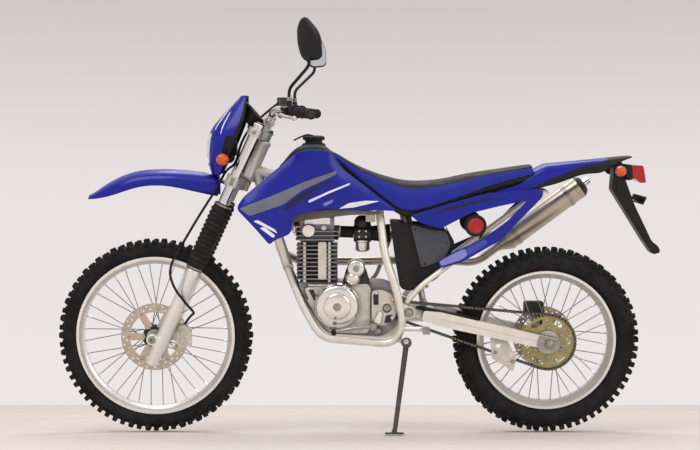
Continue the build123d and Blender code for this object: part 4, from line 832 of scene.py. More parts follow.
def triple_clamps():
    """Lower and upper clamp, the stem and the handlebar's posts."""
    shape = Shape()
    half = [
        (STEER_U - 20, 14), (STEER_U - 8, 32), (LEG_U - 26, FORK_HALF + 14), (LEG_U - 14, FORK_HALF + 32),
        (LEG_U + 14, FORK_HALF + 32), (LEG_U + 30, FORK_HALF + 10), (LEG_U + 28, FORK_HALF - 16),
        (LEG_U + 2, 34),
    ]
    outline = rounded(half + [(u, -v) for u, v in reversed(half)], 14)
    holes = [circle(20.7, 32, LEG_U, side * FORK_HALF) for side in SIDES]
    for base, top, bolt_shares in ((607, 645, (0.3, 0.7)), (800, 828, (0.5,))):
        shape.plate(outline, base, top, ALLOY, holes, fork)
        for side in SIDES:
            for share in bolt_shares:
                shape.bolt(fork(LEG_U + 4, side * 127, base + (top - base) * share), LEFT * side, 5)
            shape.plate(circle(13, 16, STEER_U + 26, side * 40), top, top + 0.8, DARK_ALLOY, lift=fork)
    stem = fork(STEER_U, 0, 0)
    shape.lathe(stem, FORK_Z, [(607, 15), (826, 15), (828, 24), (832, 24)], STEEL, sides=32)
    shape.lathe(stem, FORK_Z, [(832, 20), (841, 20), (843, 17)], CHROME, sides=6)
    for side in SIDES:
        foot = fork(STEER_U + 8, side * 30, 814)
        head = BAR_CENTRE + LEFT * side * 30
        shape.tube([foot, head], (15, 13), ALLOY, sides=20)
        shape.lathe(head, LEFT, both_ways([(15, 11.2), (15, 19), (13, 20)]), ALLOY, close=True)
        for reach in (-13, 13):
            shape.bolt(head + FORK_X * reach + FORK_Z * 14, FORK_Z, 4, height=7)
    shape.build("triple_clamp_castings", "steering", ["triple_clamps"], bevel=1.4)


def handlebar():
    """A bent bar with its cross brace."""
    shape = Shape()
    half = [BAR_FOOT, BAR_BEND, BAR_END]
    shape.tube(bent([mirrored(p, -1) for p in reversed(half)] + half, 34), 11, RIM, sides=20)
    brace = BAR_FOOT.lerp(BAR_BEND, 0.62)
    shape.tube([mirrored(brace, -1), brace], 6, RIM)
    for side in SIDES:
        shape.lathe(mirrored(brace, side), LEFT, both_ways([(9, 10), (7, 12.5)]), DARK_ALLOY, sides=20)
    shape.build("handlebar_bent", "steering", ["handlebar"])


def hand_controls():
    """Ribbed grips, levers, switch housings and the brake's reservoir."""
    shape = Shape()
    grip = [(-1, 11.4), (-1, 23), (1, 24), (4, 24), (6, 22), (8, 17.6)]
    for i in range(GRIP_RIBS):
        rib = ((12, 17.2), (13.4, 16.2), (15.8, 16.2), (17.2, 17.2))
        grip += [(reach + i * GRIP_PITCH, r) for reach, r in rib]
    grip += [(120, 18.4), (124, 18), (125, 15), (125, 11.4)]
    collar = [(-34, 11.3), (-34, 17), (-32, 19), (16, 19), (18, 17), (18, 11.3)]
    for side in SIDES:
        way = mirrored(GRIP_WAY, side)
        end = mirrored(BAR_END, side)
        perch = end - way * 158
        ahead = Vector((0.85, side * 0.42, -0.25)).normalized()
        across = way.cross(ahead).normalized()
        turn = Matrix((way, ahead, across)).transposed()
        shape.lathe(end - way * 122, way, grip, RUBBER, sides=28)
        shape.lathe(end, way, [(2, 14), (4, 13), (5, 9)], DARK_ALLOY, sides=20)
        shape.lathe(perch, way, collar, BLACK, sides=24, close=True)
        shape.block(perch - way * 8 + ahead * 4, (44, 40, 36), BLACK, turn, 0.86)
        shape.block(perch + ahead * 30, (26, 34, 17), DARK_ALLOY, turn, 0.9)
        root = perch + ahead * 42
        tip = end + ahead * 58 - way * 12
        middle = root.lerp(tip, 0.45) + ahead * 5
        shape.tube([root - way * 8, root, middle, tip], (8, 4.8), ALLOY, sides=12, smooth=True)
        shape.lathe(tip, way, [(-8, 4), (-6, 6.6), (0, 8), (6, 6.6), (8, 3)], ALLOY, sides=16)
        shape.bolt(root + across * 9, across, 5)
        shape.lathe(perch - way * 14, UP, [(8, 9), (30, 9), (34, 8)], BLACK, sides=16)
        for reach, look in ((-24, AMBER), (-10, RED)):
            button = perch + way * reach - ahead * 15 + across * 4
            shape.lathe(button, -ahead, [(0, 5), (4, 5), (5, 4)], look, sides=14)
    reservoir = mirrored(BAR_END - GRIP_WAY * 188, -1) + Vector((30, 0, 31))
    turn = Matrix.Rotation(math.radians(25), 3, "Z")
    shape.block(reservoir - UP * 3, (38, 56, 28), DARK_ALLOY, turn)
    shape.block(reservoir + UP * 14.5, (39, 57, 7), BLACK, turn, 0.94)
    shape.build("hand_control_set", "steering", ["hand_controls"], bevel=1.6)


def mirror_ring(centre, facing, side, reach, size):
    """The outline of a mirror, this far ahead of its glass and at this share of its size."""
    across = UP.cross(facing).normalized() * side
    upward = facing.cross(across) * side
    return [centre + facing * reach + (across * a + upward * b) * size for a, b in MIRROR_LEAF]


def mirrors():
    """Two leaf-shaped mirrors on bent stems."""
    shape = Shape()
    for side in SIDES:
        centre = mirrored((132, 372, 1384), side)
        facing = Vector((-math.cos(MIRROR_TURN), -side * math.sin(MIRROR_TURN), 0.05)).normalized()
        shape.rings([mirror_ring(centre, facing, side, -back, size) for back, size in MIRROR_HULL], BLACK)
        shape.rings([mirror_ring(centre, facing, side, reach, 0.92) for reach in (0.1, 0.5)], MIRROR)
        foot = mirrored(BAR_END - GRIP_WAY * 172, side) + UP * 34.3
        neck = centre - UP * 52 - facing * 8
        shape.tube(bent([foot, foot + UP * 40, neck - UP * 30, neck], 26), 5.6, BLACK)
        shape.lathe(foot, UP, [(0, 9), (12, 9), (13, 7)], STEEL, sides=6)
        shape.lathe(neck - UP * 14, UP, [(0, 7), (2, 9), (12, 9), (16, 7)], BLACK, sides=18)
    shape.build("mirror_set", "steering", ["mirrors"], sharp=50)


fork_sliders()
fork_tubes()
fork_boots()
triple_clamps()
handlebar()
hand_controls()
mirrors()

# Headlight mask, lamps and gauge. The mask's rows are (z, value)

COWL_FRONT = [(926, 486), (934, 504), (1000, 512), (1080, 506), (1140, 453), (1198, 402), (1208, 372)]
COWL_REAR = [(926, 464), (985, 430), (1060, 398), (1130, 370), (1208, 366)]
COWL_WIDE = [(926, 64), (960, 80), (1020, 100), (1085, 104), (1150, 78), (1198, 56), (1208, 50)]
COWL_LOW, COWL_HEIGHT = 926, 281
COWL_ROWS, COWL_COLUMNS = 40, 48
COWL_BLACK_FROM, COWL_BLACK_TO = 958, 1064
LAMP_LOW, LAMP_HEIGHT, LAMP_MIDDLE = 966, 106, 1019
LAMP_HALF, LAMP_SPREAD = 52, 14
LAMP_ROWS, LAMP_COLUMNS = 14, 20
LAMP_BACK, LAMP_FRONT = 440, 517
LAMP_BACK_SHARE = 0.94
GAUGE_CENTRE = Vector((338, 0, 1146))
GAUGE_WAY = Vector((-0.75, 0, 0.66)).normalized()
GAUGE_TICKS = 20
GAUGE_START, GAUGE_SWEEP = 225, 270


def cowl_point(z, t, proud=0.0):
    """A point of the mask at a height. t runs from -1 at its right rear edge to 1 at its left one."""
    a = t * math.pi / 2
    front, rear, wide = (eased(rows, z) for rows in (COWL_FRONT, COWL_REAR, COWL_WIDE))
    x = rear + (front - rear + proud) * abs(math.cos(a)) ** 0.72
    return Vector((x, (wide + proud) * signed_power(math.sin(a), 0.86), z))


def painted_highlight_radius(share):
    """The radius of a white line of painted highlight on the mask, thin at both ends."""
    return 2.6 * math.sin(math.pi * (0.06 + 0.9 * share)) ** 0.5


def headlight_mask():
    """A blue mask with an opening for the lamp, black along its rear edges, with white lines of painted
    highlight on both sides.
    """
    shape = Shape()
    heights = [COWL_LOW + COWL_HEIGHT * i / COWL_ROWS for i in range(COWL_ROWS + 1)]
    shares = [2 * j / COWL_COLUMNS - 1 for j in range(COWL_COLUMNS + 1)]
    points = [cowl_point(z, t) for z in heights for t in shares]
    opening = rounded([(-52, 966), (52, 966), (66, 1072), (-66, 1072)], 14)
    quads = {BLUE: [], BLACK: []}
    for i in range(COWL_ROWS):
        for j in range(COWL_COLUMNS):
            k = i * (COWL_COLUMNS + 1) + j
            quad = (k, k + 1, k + COWL_COLUMNS + 2, k + COWL_COLUMNS + 1)
            middle = sum((points[q] for q in quad), Vector()) / 4
            edge = 4 if COWL_BLACK_FROM < middle.z < COWL_BLACK_TO else 1
            black = not edge <= j < COWL_COLUMNS - edge and middle.z > COWL_BLACK_FROM
            if not inside(opening, middle.y, middle.z):
                quads[BLACK if black else BLUE].append(quad)
    for look, faces in quads.items():
        shape.put(points, faces, look)
    # Two thin white lines on each side of the mask: painted highlights.
    for side in SIDES:
        for low, high, t in ((1086, 1176, 0.46), (1072, 1150, 0.7)):
            line = [cowl_point(low + (high - low) * i / 10, side * (t - 0.012 * i), 0.6) for i in range(11)]
            shape.tube(line, painted_highlight_radius, PALE, sides=6)
    shape.build("headlight_mask", "steering", ["headlight_cowl"], solid=3.4, sharp=50)


def lamp_x(y, z):
    """How far forward the mask's front stands at the lamp."""
    return eased(COWL_FRONT, z) - 40 * abs(y / 104) ** 2.6


def headlamp():
    """A bulging lens with three ribs, its bowl and its black cap."""
    shape = Shape()
    lens = []
    for i in range(LAMP_ROWS + 1):
        up = i / LAMP_ROWS
        z = LAMP_LOW + LAMP_HEIGHT * up
        ring = []
        for j in range(LAMP_COLUMNS + 1):
            across = 2 * j / LAMP_COLUMNS - 1
            y = (LAMP_HALF + LAMP_SPREAD * up) * across
            bulge = 7 * (1 - across ** 2) * (1 - (2 * up - 1) ** 2)
            ring.append(Vector((min(lamp_x(y, z) - 3 + bulge, LAMP_FRONT), y, z)))
        lens.append(ring)
    shape.rings(lens, LENS, loop=False)
    edge = lens[0] + [ring[-1] for ring in lens[1:]]
    edge += lens[-1][-2::-1] + [ring[0] for ring in lens[-2:0:-1]]
    centre = Vector((0, 0, LAMP_MIDDLE))
    bowl = [centre + (p - centre) * LAMP_BACK_SHARE for p in edge]
    shape.rings([edge, [Vector((LAMP_BACK, p.y, p.z)) for p in bowl]], DARK_ALLOY)
    for z in (992, 1019, 1046):
        half = int(46 + (z - LAMP_LOW) * 0.13)
        line = [(lamp_x(y, z) + 4.6 - 7 * (y / 60) ** 2, y, z) for y in range(-half, half + 1, 6)]
        shape.tube(line, 0.9, LENS, sides=5)
    shape.lathe((LAMP_BACK, 0, 1020), -FORWARD, [(0, 44), (12, 40), (28, 27), (35, 24)], BLACK, sides=32)
    shape.build("headlamp_unit", "steering", ["headlight"], sharp=50)


def indicators(name, node, body, root, length, depth, radius, small):
    """A lamp on a stalk at each side. depth is the lamp's, small the radius near the lens's end."""
    shape = Shape()
    stalk = [(0, 9), (4, 9), (8, 6.4), (length - 6, 6.4), (length, 8)]
    shell = [(-1, 8), (0, radius - 2), (3, radius), (depth * 0.4, radius)]
    lens = [(depth * 0.4, radius - 0.6), (depth * 0.75, radius - 3), (depth * 0.93, small)]
    lens += [(depth, small - 5), (depth, 0)]
    for side in SIDES:
        way = LEFT * side
        foot = mirrored(root, side)
        lamp_at = foot + way * (length - 2)
        shape.lathe(foot, way, stalk, RUBBER, sides=16)
        shape.lathe(lamp_at, way, shell, BLACK, sides=28)
        shape.lathe(lamp_at, way, lens, AMBER, sides=28)
    shape.build(name, body, [node])


def dial_way(degrees):
    """A direction on the gauge's face."""
    a = math.radians(degrees)
    return -LEFT * math.cos(a) - GAUGE_WAY.cross(LEFT) * math.sin(a)


def gauge():
    """A round gauge with tick marks and a needle, on its bracket."""
    shape = Shape()
    case = [(-46, 38), (-44, 41), (-4, 51), (0, 52), (2, 51), (2, 47), (-2, 46)]
    shape.lathe(GAUGE_CENTRE, GAUGE_WAY, case, BLACK, sides=40)
    shape.lathe(GAUGE_CENTRE, GAUGE_WAY, [(-2.4, 46), (-1.6, 45.6), (-1.6, 0)], PALE, sides=40)
    face = GAUGE_CENTRE - GAUGE_WAY * 1.2
    for i in range(GAUGE_TICKS + 1):
        out = dial_way(GAUGE_START - GAUGE_SWEEP * i / GAUGE_TICKS)
        shape.tube([face + out * (32 if i % 5 else 28), face + out * 41], 0.8, BLACK, sides=5)
    shape.tube([GAUGE_CENTRE, GAUGE_CENTRE + dial_way(GAUGE_START) * 34], (1.4, 0.5), RED, sides=6)
    shape.lathe(GAUGE_CENTRE, GAUGE_WAY, [(-1, 5), (1, 5), (1.5, 4)], BLACK, sides=18)
    bracket = [fork(u, 0, w) for u, w in ((-29.7, 814), (2, 814), (2, 836))]
    shape.tube(bent(bracket, 10), 7, DARK_ALLOY, sides=12)
    shape.build("gauge_unit", "steering", ["instruments"])


headlight_mask()
headlamp()
indicators("front_signal_lamps", "front_indicators", "steering", (446, 96, 984), 32, 40, 22, 15)
gauge()

# Front mudguard, axle, caliper and brake hose. The mudguard's rows are (x, value)

CROWN = [(934, 843), (880, 886), (805, 924), (740, 940), (656, 943), (575, 938), (470, 924)]
SKIRT = [(934, 838), (865, 848), (754, 885), (690, 892), (627, 886), (567, 872), (470, 850)]
FENDER_PLAN = [(460, 52), (640, 68), (800, 72), (900, 50), (940, 18)]
RIDGE_FROM = 520
HOSE_ROUTE = [
    (268, -210, 1182), (356, -152, 1112), (398, -76, 1040), (414, -66, 962), (446, 6, 942), (464, 86, 892),
    (530, 104, 790), (590, 100, 690), (640, 114, 604), (624, 132, 540), (578, 136, 480), (548, 112, 442),
    (568, 64, 430), (590, 58, 397),
]


def fender_point(x, s):
    """A point of the front mudguard: s runs from -1 at its right edge to 1 at its left one."""
    a = s * math.pi / 2
    crown, skirt, wide = (eased(rows, x) for rows in (CROWN, SKIRT, FENDER_PLAN))
    ridge = 3.5 * bump(s, 0.12) if x > RIDGE_FROM else 0
    z = skirt + (crown - skirt) * abs(math.cos(a)) ** 0.62 + ridge
    return Vector((x, wide * signed_power(math.sin(a), 0.8), z))


def front_mudguard():
    """The mudguard's shell, and the tongue that bolts it under the lower clamp."""
    shell = Shape()
    stations = [470 + 464 * i / 44 for i in range(45)]
    shell.rings([[fender_point(x, s / 14) for s in range(-14, 15)] for x in stations], BLUE, loop=False)
    shell.build("front_mudguard", "steering", ["front_fender"], solid=3.4, sharp=60)
    tongue = Shape()
    tongue.block(fork(-3, 0, 602.6), (102, 72, 8), BLUE, FORK_TURN)
    for u in (-20, 34):
        for v in (-24, 24):
            tongue.bolt(fork(u, v, 598.6), -FORK_Z, 5)
    tongue.build("front_mudguard_mount", "steering", bevel=1.2)


def turned_axle(wheel, body, half, nut_y, nut, spacers, spacer_r):
    """A wheel's axle with a nut at each end, and a spacer on each side of the hub."""
    shape = Shape()
    shape.lathe(wheel.axle, LEFT, both_ways([(half, 7), (half - 1, 8.4)]), STEEL, sides=24)
    for side, (near, far) in zip(SIDES, spacers):
        way = LEFT * side
        spacer = [(near, 8.6), (near, spacer_r), (far, spacer_r), (far, 8.6)]
        shape.lathe(wheel.axle + way * nut_y, way, nut, STEEL, sides=6)
        shape.lathe(wheel.axle, way, spacer, DARK_ALLOY, close=True)
    shape.build(f"{wheel.name}_axle_turned", body, [f"{wheel.name}_axle"])


def front_caliper():
    """Two jaws joined by a bridge, with a lug to the slider."""
    shape = Shape()
    jaw = rounded([(626, 389), (588, 395), (568, 369), (568, 319), (626, 307)], 10)
    bridge = rounded([
        (583, 392), (568, 369), (568, 319), (576, 316), (577.2, 330), (577.2, 372), (588, 392),
    ], 3)
    lug = rounded([(620, 385), (656, 383), (656, 353), (620, 339)], 8)
    for outline, low, high in ((jaw, 53, 67), (jaw, 34, 43), (bridge, 42, 54), (lug, 60, 68.6)):
        shape.plate(outline, low, high, ALLOY)
    for z in (336, 366):
        cap = [(0, 12), (3, 12), (4, 10.5), (4, 7), (2.6, 6), (2.6, 0)]
        shape.lathe((598, 66, z), LEFT, cap, ALLOY, sides=28)
    for z in (380, 318):
        shape.bolt(Vector((620, 66.5, z)), LEFT, 5)
    shape.build("front_caliper_casting", "steering", ["front_caliper"], bevel=1.6)


def brake_hose():
    """A free hose from the right grip to the front caliper."""
    curve = bpy.data.curves.new("front_brake_line", "CURVE")
    curve.dimensions = "3D"
    curve.bevel_depth = 0.0045
    curve.bevel_resolution = 4
    curve.resolution_u = 8
    curve.use_fill_caps = True
    spline = curve.splines.new("NURBS")
    spline.points.add(len(HOSE_ROUTE) - 1)
    for knot, point in zip(spline.points, HOSE_ROUTE):
        knot.co = (*(TO_ROW @ Vector(point)), 1)
    spline.order_u = 3
    spline.use_endpoint_u = True
    curve.materials.append(RUBBER)
    hose = bpy.data.objects.new("front_brake_line", curve)
    bpy.context.scene.collection.objects.link(hose)
    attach(hose, "steering")
    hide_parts("front_brake_hose")


front_mudguard()
front_nut = [(0, 15), (2, 15), (2.1, 13.5), (7.6, 13.5), (8.6, 12)]
turned_axle(FRONT_WHEEL, "steering", 132, 123.4, front_nut, ((56.6, 68.4), (36.6, 68.4)), 12)
front_caliper()
brake_hose()

# Tank, shrouds and seat. Rows of tops, edges and plans are (x, value)

TANK_HALF = 104
TANK_TOP = [
    (256, 940), (244, 968), (220, 1002), (196, 1026), (142, 1040), (92, 1036), (60, 1004), (26, 950),
    (-56, 884),
]
TANK_CAP = Vector((132, 0, 1020))
CAP_RIBS = 20
SHROUD = [
    (398, 816), (373, 855), (234, 971), (188, 1010), (140, 1019), (69, 1012), (26, 949), (-166, 802),
    (-99, 806), (101, 811), (203, 790), (203, 759), (209, 726), (265, 705), (282, 688), (336, 751),
]
SHROUD_TOP = [
    (-166, 815), (26, 949), (69, 1012), (140, 1019), (188, 1010), (234, 971), (373, 855), (398, 816),
]
SHROUD_PLAN = [(410, 176), (310, 173), (240, 164), (160, 147), (80, 131), (-20, 120), (-190, 114)]
SHROUD_CREASE = [(-166, 806), (60, 870), (240, 850), (398, 812)]
STRIPE_LIFT = 0.7
STRIPE_THICK = 0.6
SHROUD_STRIPES_AND_SHADOW = [
    (
        [
            (386, 816), (274, 859), (163, 906), (49, 945), (52, 931), (172, 876), (233, 829), (309, 804),
            (350, 790),
        ],
        STRIPE,
    ),
    # A dark blue band: painted shadow.
    (
        [(233, 820), (172, 866), (118, 892), (60, 914), (62, 906), (116, 880), (168, 846), (226, 806)],
        PAINTED_SHADOW_BLUE,
    ),
    ([(148, 842), (76, 874), (3, 902), (3, 896), (76, 866), (146, 833)], PALE),
    ([(42, 812), (6, 832), (-50, 840), (-102, 838), (-60, 828), (-10, 816)], PALE),
    ([(96, 832), (60, 846), (66, 832), (94, 820)], VIOLET),
    ([(338, 772), (322, 776), (262, 742), (254, 728)], PALE),
    ([(316, 748), (300, 752), (262, 722), (268, 712)], PALE),
]
TANK_RAIL = [
    (230, 792), (140, 803), (48, 810), (-40, 806), (-106, 799), (-103, 791), (0, 789), (82, 780), (150, 772),
    (224, 760),
]
SEAT_TOP = [
    (62, 1012), (20, 981), (-40, 951), (-105, 926), (-185, 905), (-255, 903), (-322, 909), (-430, 932),
    (-640, 963),
]
SEAT_EDGE = [
    (62, 1000), (10, 950), (-90, 872), (-186, 801), (-269, 816), (-392, 858), (-500, 896), (-640, 932),
]
SEAT_PLAN = [(70, 62), (-10, 84), (-190, 118), (-430, 116), (-645, 84)]
SEAT_SPAN = 32
SEAT_SEAMS = (7, 25)
SEAT_STATIONS = [-639 + 700 * i / 60 for i in range(61)]
SKIRT_ROWS = ((0.93, -3), (0.9, 10), (0.88, 24))


def tank_section(x):
    """A ring of the tank at one station, from its left lower edge over the top to the right one."""
    top = eased(TANK_TOP, x)
    low = 820 if x > 200 else 806
    wide = TANK_HALF * (1 - 0.1 * max(0, (x - 150) / 100) ** 2)
    ring = []
    for k in range(25):
        a = math.pi * k / 24
        y = wide * signed_power(math.cos(a), 0.42)
        ring.append(Vector((x, y, low + (top - low) * math.sin(a) ** 0.42)))
    return ring


def fuel_tank():
    """The black tank with its ribbed cap and vent hose."""
    shape = Shape()
    shape.rings([tank_section(-50 + 302 * i / 30) for i in range(31)], BLACK)
    neck = [(0, 44), (14, 42), (18, 38), (19, 31), (29, 31)]
    cap = [(28, 30), (29, 37), (32, 38), (40, 38), (43, 36), (44, 30), (44, 0)]
    for rows in (neck, cap):
        shape.lathe(TANK_CAP, UP, rows, BLACK, sides=40)
    for a in turns(CAP_RIBS):
        x, y = polar(38, a, TANK_CAP.x)
        shape.block((x, y, 1055), (2.6, 4.5, 9), BLACK, Matrix.Rotation(a, 3, "Z"))
    shape.block((132, 0, 1064), (52, 12, 3), BLACK)
    shape.tube([(132, 0, 1064), (160, 0, 1067), (204, 0, 1048)], 3, RUBBER, sides=10, smooth=True)
    shape.build("fuel_tank_moulding", "frame", ["fuel_tank"], bevel=0.8, sharp=50)


def shroud_depth(x, z):
    """How far out the shroud stands: it swells along a crease and turns in at the top."""
    roll = max(0.0, 1 - (along(SHROUD_TOP, x) - z) / 70)
    crease = 5.5 * bump(z - along(SHROUD_CREASE, x), 26)
    return eased(SHROUD_PLAN, x) - 16 * roll ** 2 + crease - 2


def over(base, lift):
    """The same surface, standing this much prouder."""
    def raised(x, z):
        return base(x, z) + lift
    return raised


def stripes(name, table, depth, corner):
    """Thin stripes on the panels of both sides, and dark blue bands of painted shadow among them."""
    shape = Shape()
    for side in SIDES:
        for outline, look in table:
            shape.skin(rounded(outline, corner, 2), over(depth, STRIPE_LIFT), look, STRIPE_THICK, 10, side)
    shape.build(name, "frame")


def shrouds():
    """Two blue shrouds on bosses from the tank."""
    shape = Shape()
    for side in SIDES:
        shape.skin(rounded(SHROUD, 16, 3), shroud_depth, BLUE, 5, 14, side)
        for x, z, length in ((180, 940, 41), (20, 878, 14)):
            shape.lathe((x, side * 104.3, z), LEFT * side, [(0, 11), (length, 11)], BLUE, sides=20)
    shape.build("tank_shrouds", "frame", ["shrouds"], bevel=1.2, sharp=45)


def rail_depth(x, z):
    """How far out the grey rail stands, the same at every height."""
    return 112 + 0.03 * x


def tank_rails():
    """The grey rails under the shrouds."""
    shape = Shape()
    for side in SIDES:
        shape.skin(rounded(TANK_RAIL, 8, 3), rail_depth, BAND, 14, 16, side)
    shape.build("tank_lower_rails", "frame", bevel=2)


def seat_point(x, k):
    """A point of the seat at a station: k runs from 0 at the left edge to SEAT_SPAN at the right one."""
    a = math.pi * k / SEAT_SPAN
    top, edge, wide = (eased(rows, x) for rows in (SEAT_TOP, SEAT_EDGE, SEAT_PLAN))
    y = (wide - 1) * signed_power(math.cos(a), 0.5)
    return Vector((x, y, edge + (top - edge) * math.sin(a) ** 0.5))


def seat_cushion():
    """The cushion: black on top, blue at the sides."""
    shape = Shape()
    sections = [[seat_point(x, k) for k in range(SEAT_SPAN + 1)] for x in SEAT_STATIONS]
    left, right = SEAT_SEAMS
    for low, high, look in ((0, left, SEAT_BLUE), (left, right, SEAT_BLACK), (right, SEAT_SPAN, SEAT_BLUE)):
        shape.rings([section[low:high + 1] for section in sections], look, loop=False)
    for end in (sections[0], sections[-1]):
        shape.put(end, [tuple(range(SEAT_SPAN + 1))], SEAT_BLACK)
    under = [[Vector((p.x, p.y * 0.97, p.z)) for p in (section[0], section[-1])] for section in sections]
    shape.rings(under, SEAT_BLACK, loop=False)
    cushion = shape.build("seat_cushion", "frame", ["seat"], sharp=55, merge=0.05)


def seat_skirts():
    """The black skirts under both edges of the seat."""
    shape = Shape()
    for k in (0, SEAT_SPAN):
        edge = [seat_point(x, k) for x in SEAT_STATIONS[:-1]]
        strips = [[Vector((p.x, p.y * share, p.z - drop)) for share, drop in SKIRT_ROWS] for p in edge]
        shape.rings(strips, BLACK, loop=False)
    shape.build("seat_base_skirts", "frame", solid=2)


def seat_seams():
    """A piped seam along each side of the seat's top, between two rows of stitches."""
    shape = Shape()
    for k, side in zip(SEAT_SEAMS, SIDES):
        line = [seat_point(x, k) + Vector((0, side * 0.5, 0.5)) for x in SEAT_STATIONS]
        shape.tube(line, 1.7, SEAT_BLACK, sides=8)
        out = Vector((0, side * 0.3, 0.3))
        for shift in (-0.32, 0.32):
            for x, x_next in zip(SEAT_STATIONS, SEAT_STATIONS[1:]):
                for start in (0.1, 0.6):
                    ends = (x + (x_next - x) * share for share in (start, start + 0.3))
                    shape.tube([seat_point(end, k + shift) + out for end in ends], 0.7, STRIPE, sides=4)
    shape.build("seat_seams", "frame")


fuel_tank()
shrouds()
stripes("shroud_stripes_and_shadow", SHROUD_STRIPES_AND_SHADOW, shroud_depth, 5)
tank_rails()
seat_cushion()
seat_skirts()
seat_seams()

# Side panels, tail and rear lamps

PANEL = [
    (-209, 788), (-332, 826), (-455, 861), (-596, 879), (-677, 874), (-672, 850), (-526, 701), (-392, 624),
    (-314, 603), (-304, 626), (-362, 660), (-455, 701), (-547, 765), (-620, 840), (-526, 821), (-420, 796),
    (-316, 742), (-238, 764),
]
PANEL_STRIPES_AND_SHADOW = [
    ([(-318, 610), (-310, 626), (-362, 655), (-400, 672), (-410, 648), (-385, 631)], VIOLET),
    ([(-412, 648), (-402, 671), (-470, 704), (-482, 690), (-430, 655)], FADE),
    # A dark blue band under the seat's edge: painted shadow.
    ([(-250, 778), (-340, 806), (-470, 838), (-560, 846), (-470, 846), (-340, 816)], PAINTED_SHADOW_BLUE),
]
TAIL_TOP = [(-500, 885), (-560, 900), (-646, 940), (-660, 963), (-800, 976), (-945, 989), (-993, 993)]
TAIL_LOW = [(-500, 858), (-610, 868), (-743, 902), (-808, 930), (-898, 936), (-935, 968), (-993, 989)]
TAIL_PLAN = [(-500, 84), (-640, 84), (-900, 76), (-994, 58)]
TAIL_BLACK_EDGE = [(-900, 0.82), (-620, 0.04)]
TAIL_EASED_FROM = -960
TAIL_BLACK_END = 7
PLATE_ARM = [
    (-935, 967), (-962, 976), (-976, 907), (-1010, 817), (-1072, 690), (-1096, 672), (-1104, 650),
    (-1076, 642), (-1042, 691), (-970, 806), (-928, 872),
]
PLATE_ARM_RIB = [(-950, 940), (-968, 905), (-1003, 818), (-1062, 700), (-1050, 700), (-984, 806), (-942, 872)]
PLATE_BAR = Vector((-1036, 0, 836))
PLATE_WAY = Vector((-0.9, 0, -0.44)).normalized()
PLATE_UP = LEFT.cross(PLATE_WAY)


def panel_depth(x, z):
    """How far out the side panel stands, the same at every height."""
    return 126 + (x + 209) * 28 / 481 + 4 * bump(x + 430, 150)


def side_panels():
    """Two open blue panels under the seat, on their bosses."""
    shape = Shape()
    for side in SIDES:
        shape.skin(rounded(PANEL, 12, 3), panel_depth, BLUE, 6, 14, side)
        for x, y, z, length, r in ((-400.1, 100, 651.5, 12, 9), (-596, 84.3, 873, 16.7, 5)):
            shape.lathe((x, side * y, z), LEFT * side, [(0, r), (length, r)], BLUE, sides=18)
    shape.build("rear_side_panels", "frame", ["side_panels"], bevel=1.4, sharp=45)


def tail_section(x):
    """A ring of the tail at one station, open underneath. Its fifth point ends the black part."""
    value = eased if x > TAIL_EASED_FROM else along
    top, low, wide = (value(rows, x) for rows in (TAIL_TOP, TAIL_LOW, TAIL_PLAN))
    edge = along(TAIL_BLACK_EDGE, x)
    shares = [edge * k / 4 for k in range(5)] + [edge + (1 - edge) * k / 8 for k in range(1, 9)]
    left = [Vector((x, wide * (1 - share ** 4) ** 0.18, low + (top - low) * share)) for share in shares]
    return left + [mirrored(p, -1) for p in reversed(left[:-1])]


def rear_mudguard():
    """The tail, blue above and black at its end and lower edges."""
    shape = Shape()
    sections = [tail_section(-993 + 488 * i / 40) for i in range(41)]
    shape.rings(sections[:TAIL_BLACK_END + 1], BLACK, loop=False)
    for first, last, look in ((0, 4, BLACK), (4, 20, BLUE), (20, 24, BLACK)):
        shape.rings([section[first:last + 1] for section in sections[TAIL_BLACK_END:]], look, loop=False)
    shape.build("rear_mudguard", "frame", ["rear_fender"], solid=3.4, sharp=50)


def on_plate(a, b, height):
    """A point by the plate bar's measures: a to the left, b up along it, height out to the rear."""
    return PLATE_BAR + LEFT * a + PLATE_UP * b + PLATE_WAY * height


def plate_arm():
    """The arm under the tail, with ribbed sides and a bar for a plate."""
    shape = Shape()
    shape.plate(rounded(PLATE_ARM, 10), -36, 36, BLACK)
    for side in SIDES:
        shape.plate(rounded(PLATE_ARM_RIB, 6), side * 36, side * 38.5, BLACK)
    bar = rounded([(-85, -15), (85, -15), (85, 15), (-85, 15)], 6)
    shape.plate(bar, -4, 0, BLACK, [circle(3.3, 16, x) for x in (-70, 70)], on_plate)
    turn = Matrix((PLATE_WAY, LEFT, PLATE_UP)).transposed()
    shape.block(on_plate(0, 0, -16), (26, 40, 20), BLACK, turn)
    shape.build("plate_arm", "frame", ["plate_bracket"], bevel=1.6)


def tail_lamp():
    """A red lens with ribs across it, on a black base."""
    shape = Shape()
    base = [(-966, 963), (-994, 962.5), (-998, 911), (-978, 907)]
    lens = [(-993, 961), (-1034, 960), (-1045, 900), (-1024, 898), (-1006, 914), (-997, 912)]
    shape.plate(rounded(base, 5), -57, 57, BLACK)
    shape.plate(rounded(lens, 7), -55, 55, RED)
    for z in range(912, 958, 8):
        shape.block((-1034 - (958 - z) * 0.16, 0, z), (4, 104, 1.6), RED)
    shape.build("tail_lamp_unit", "frame", ["tail_lamp"], bevel=2.2, segments=3)


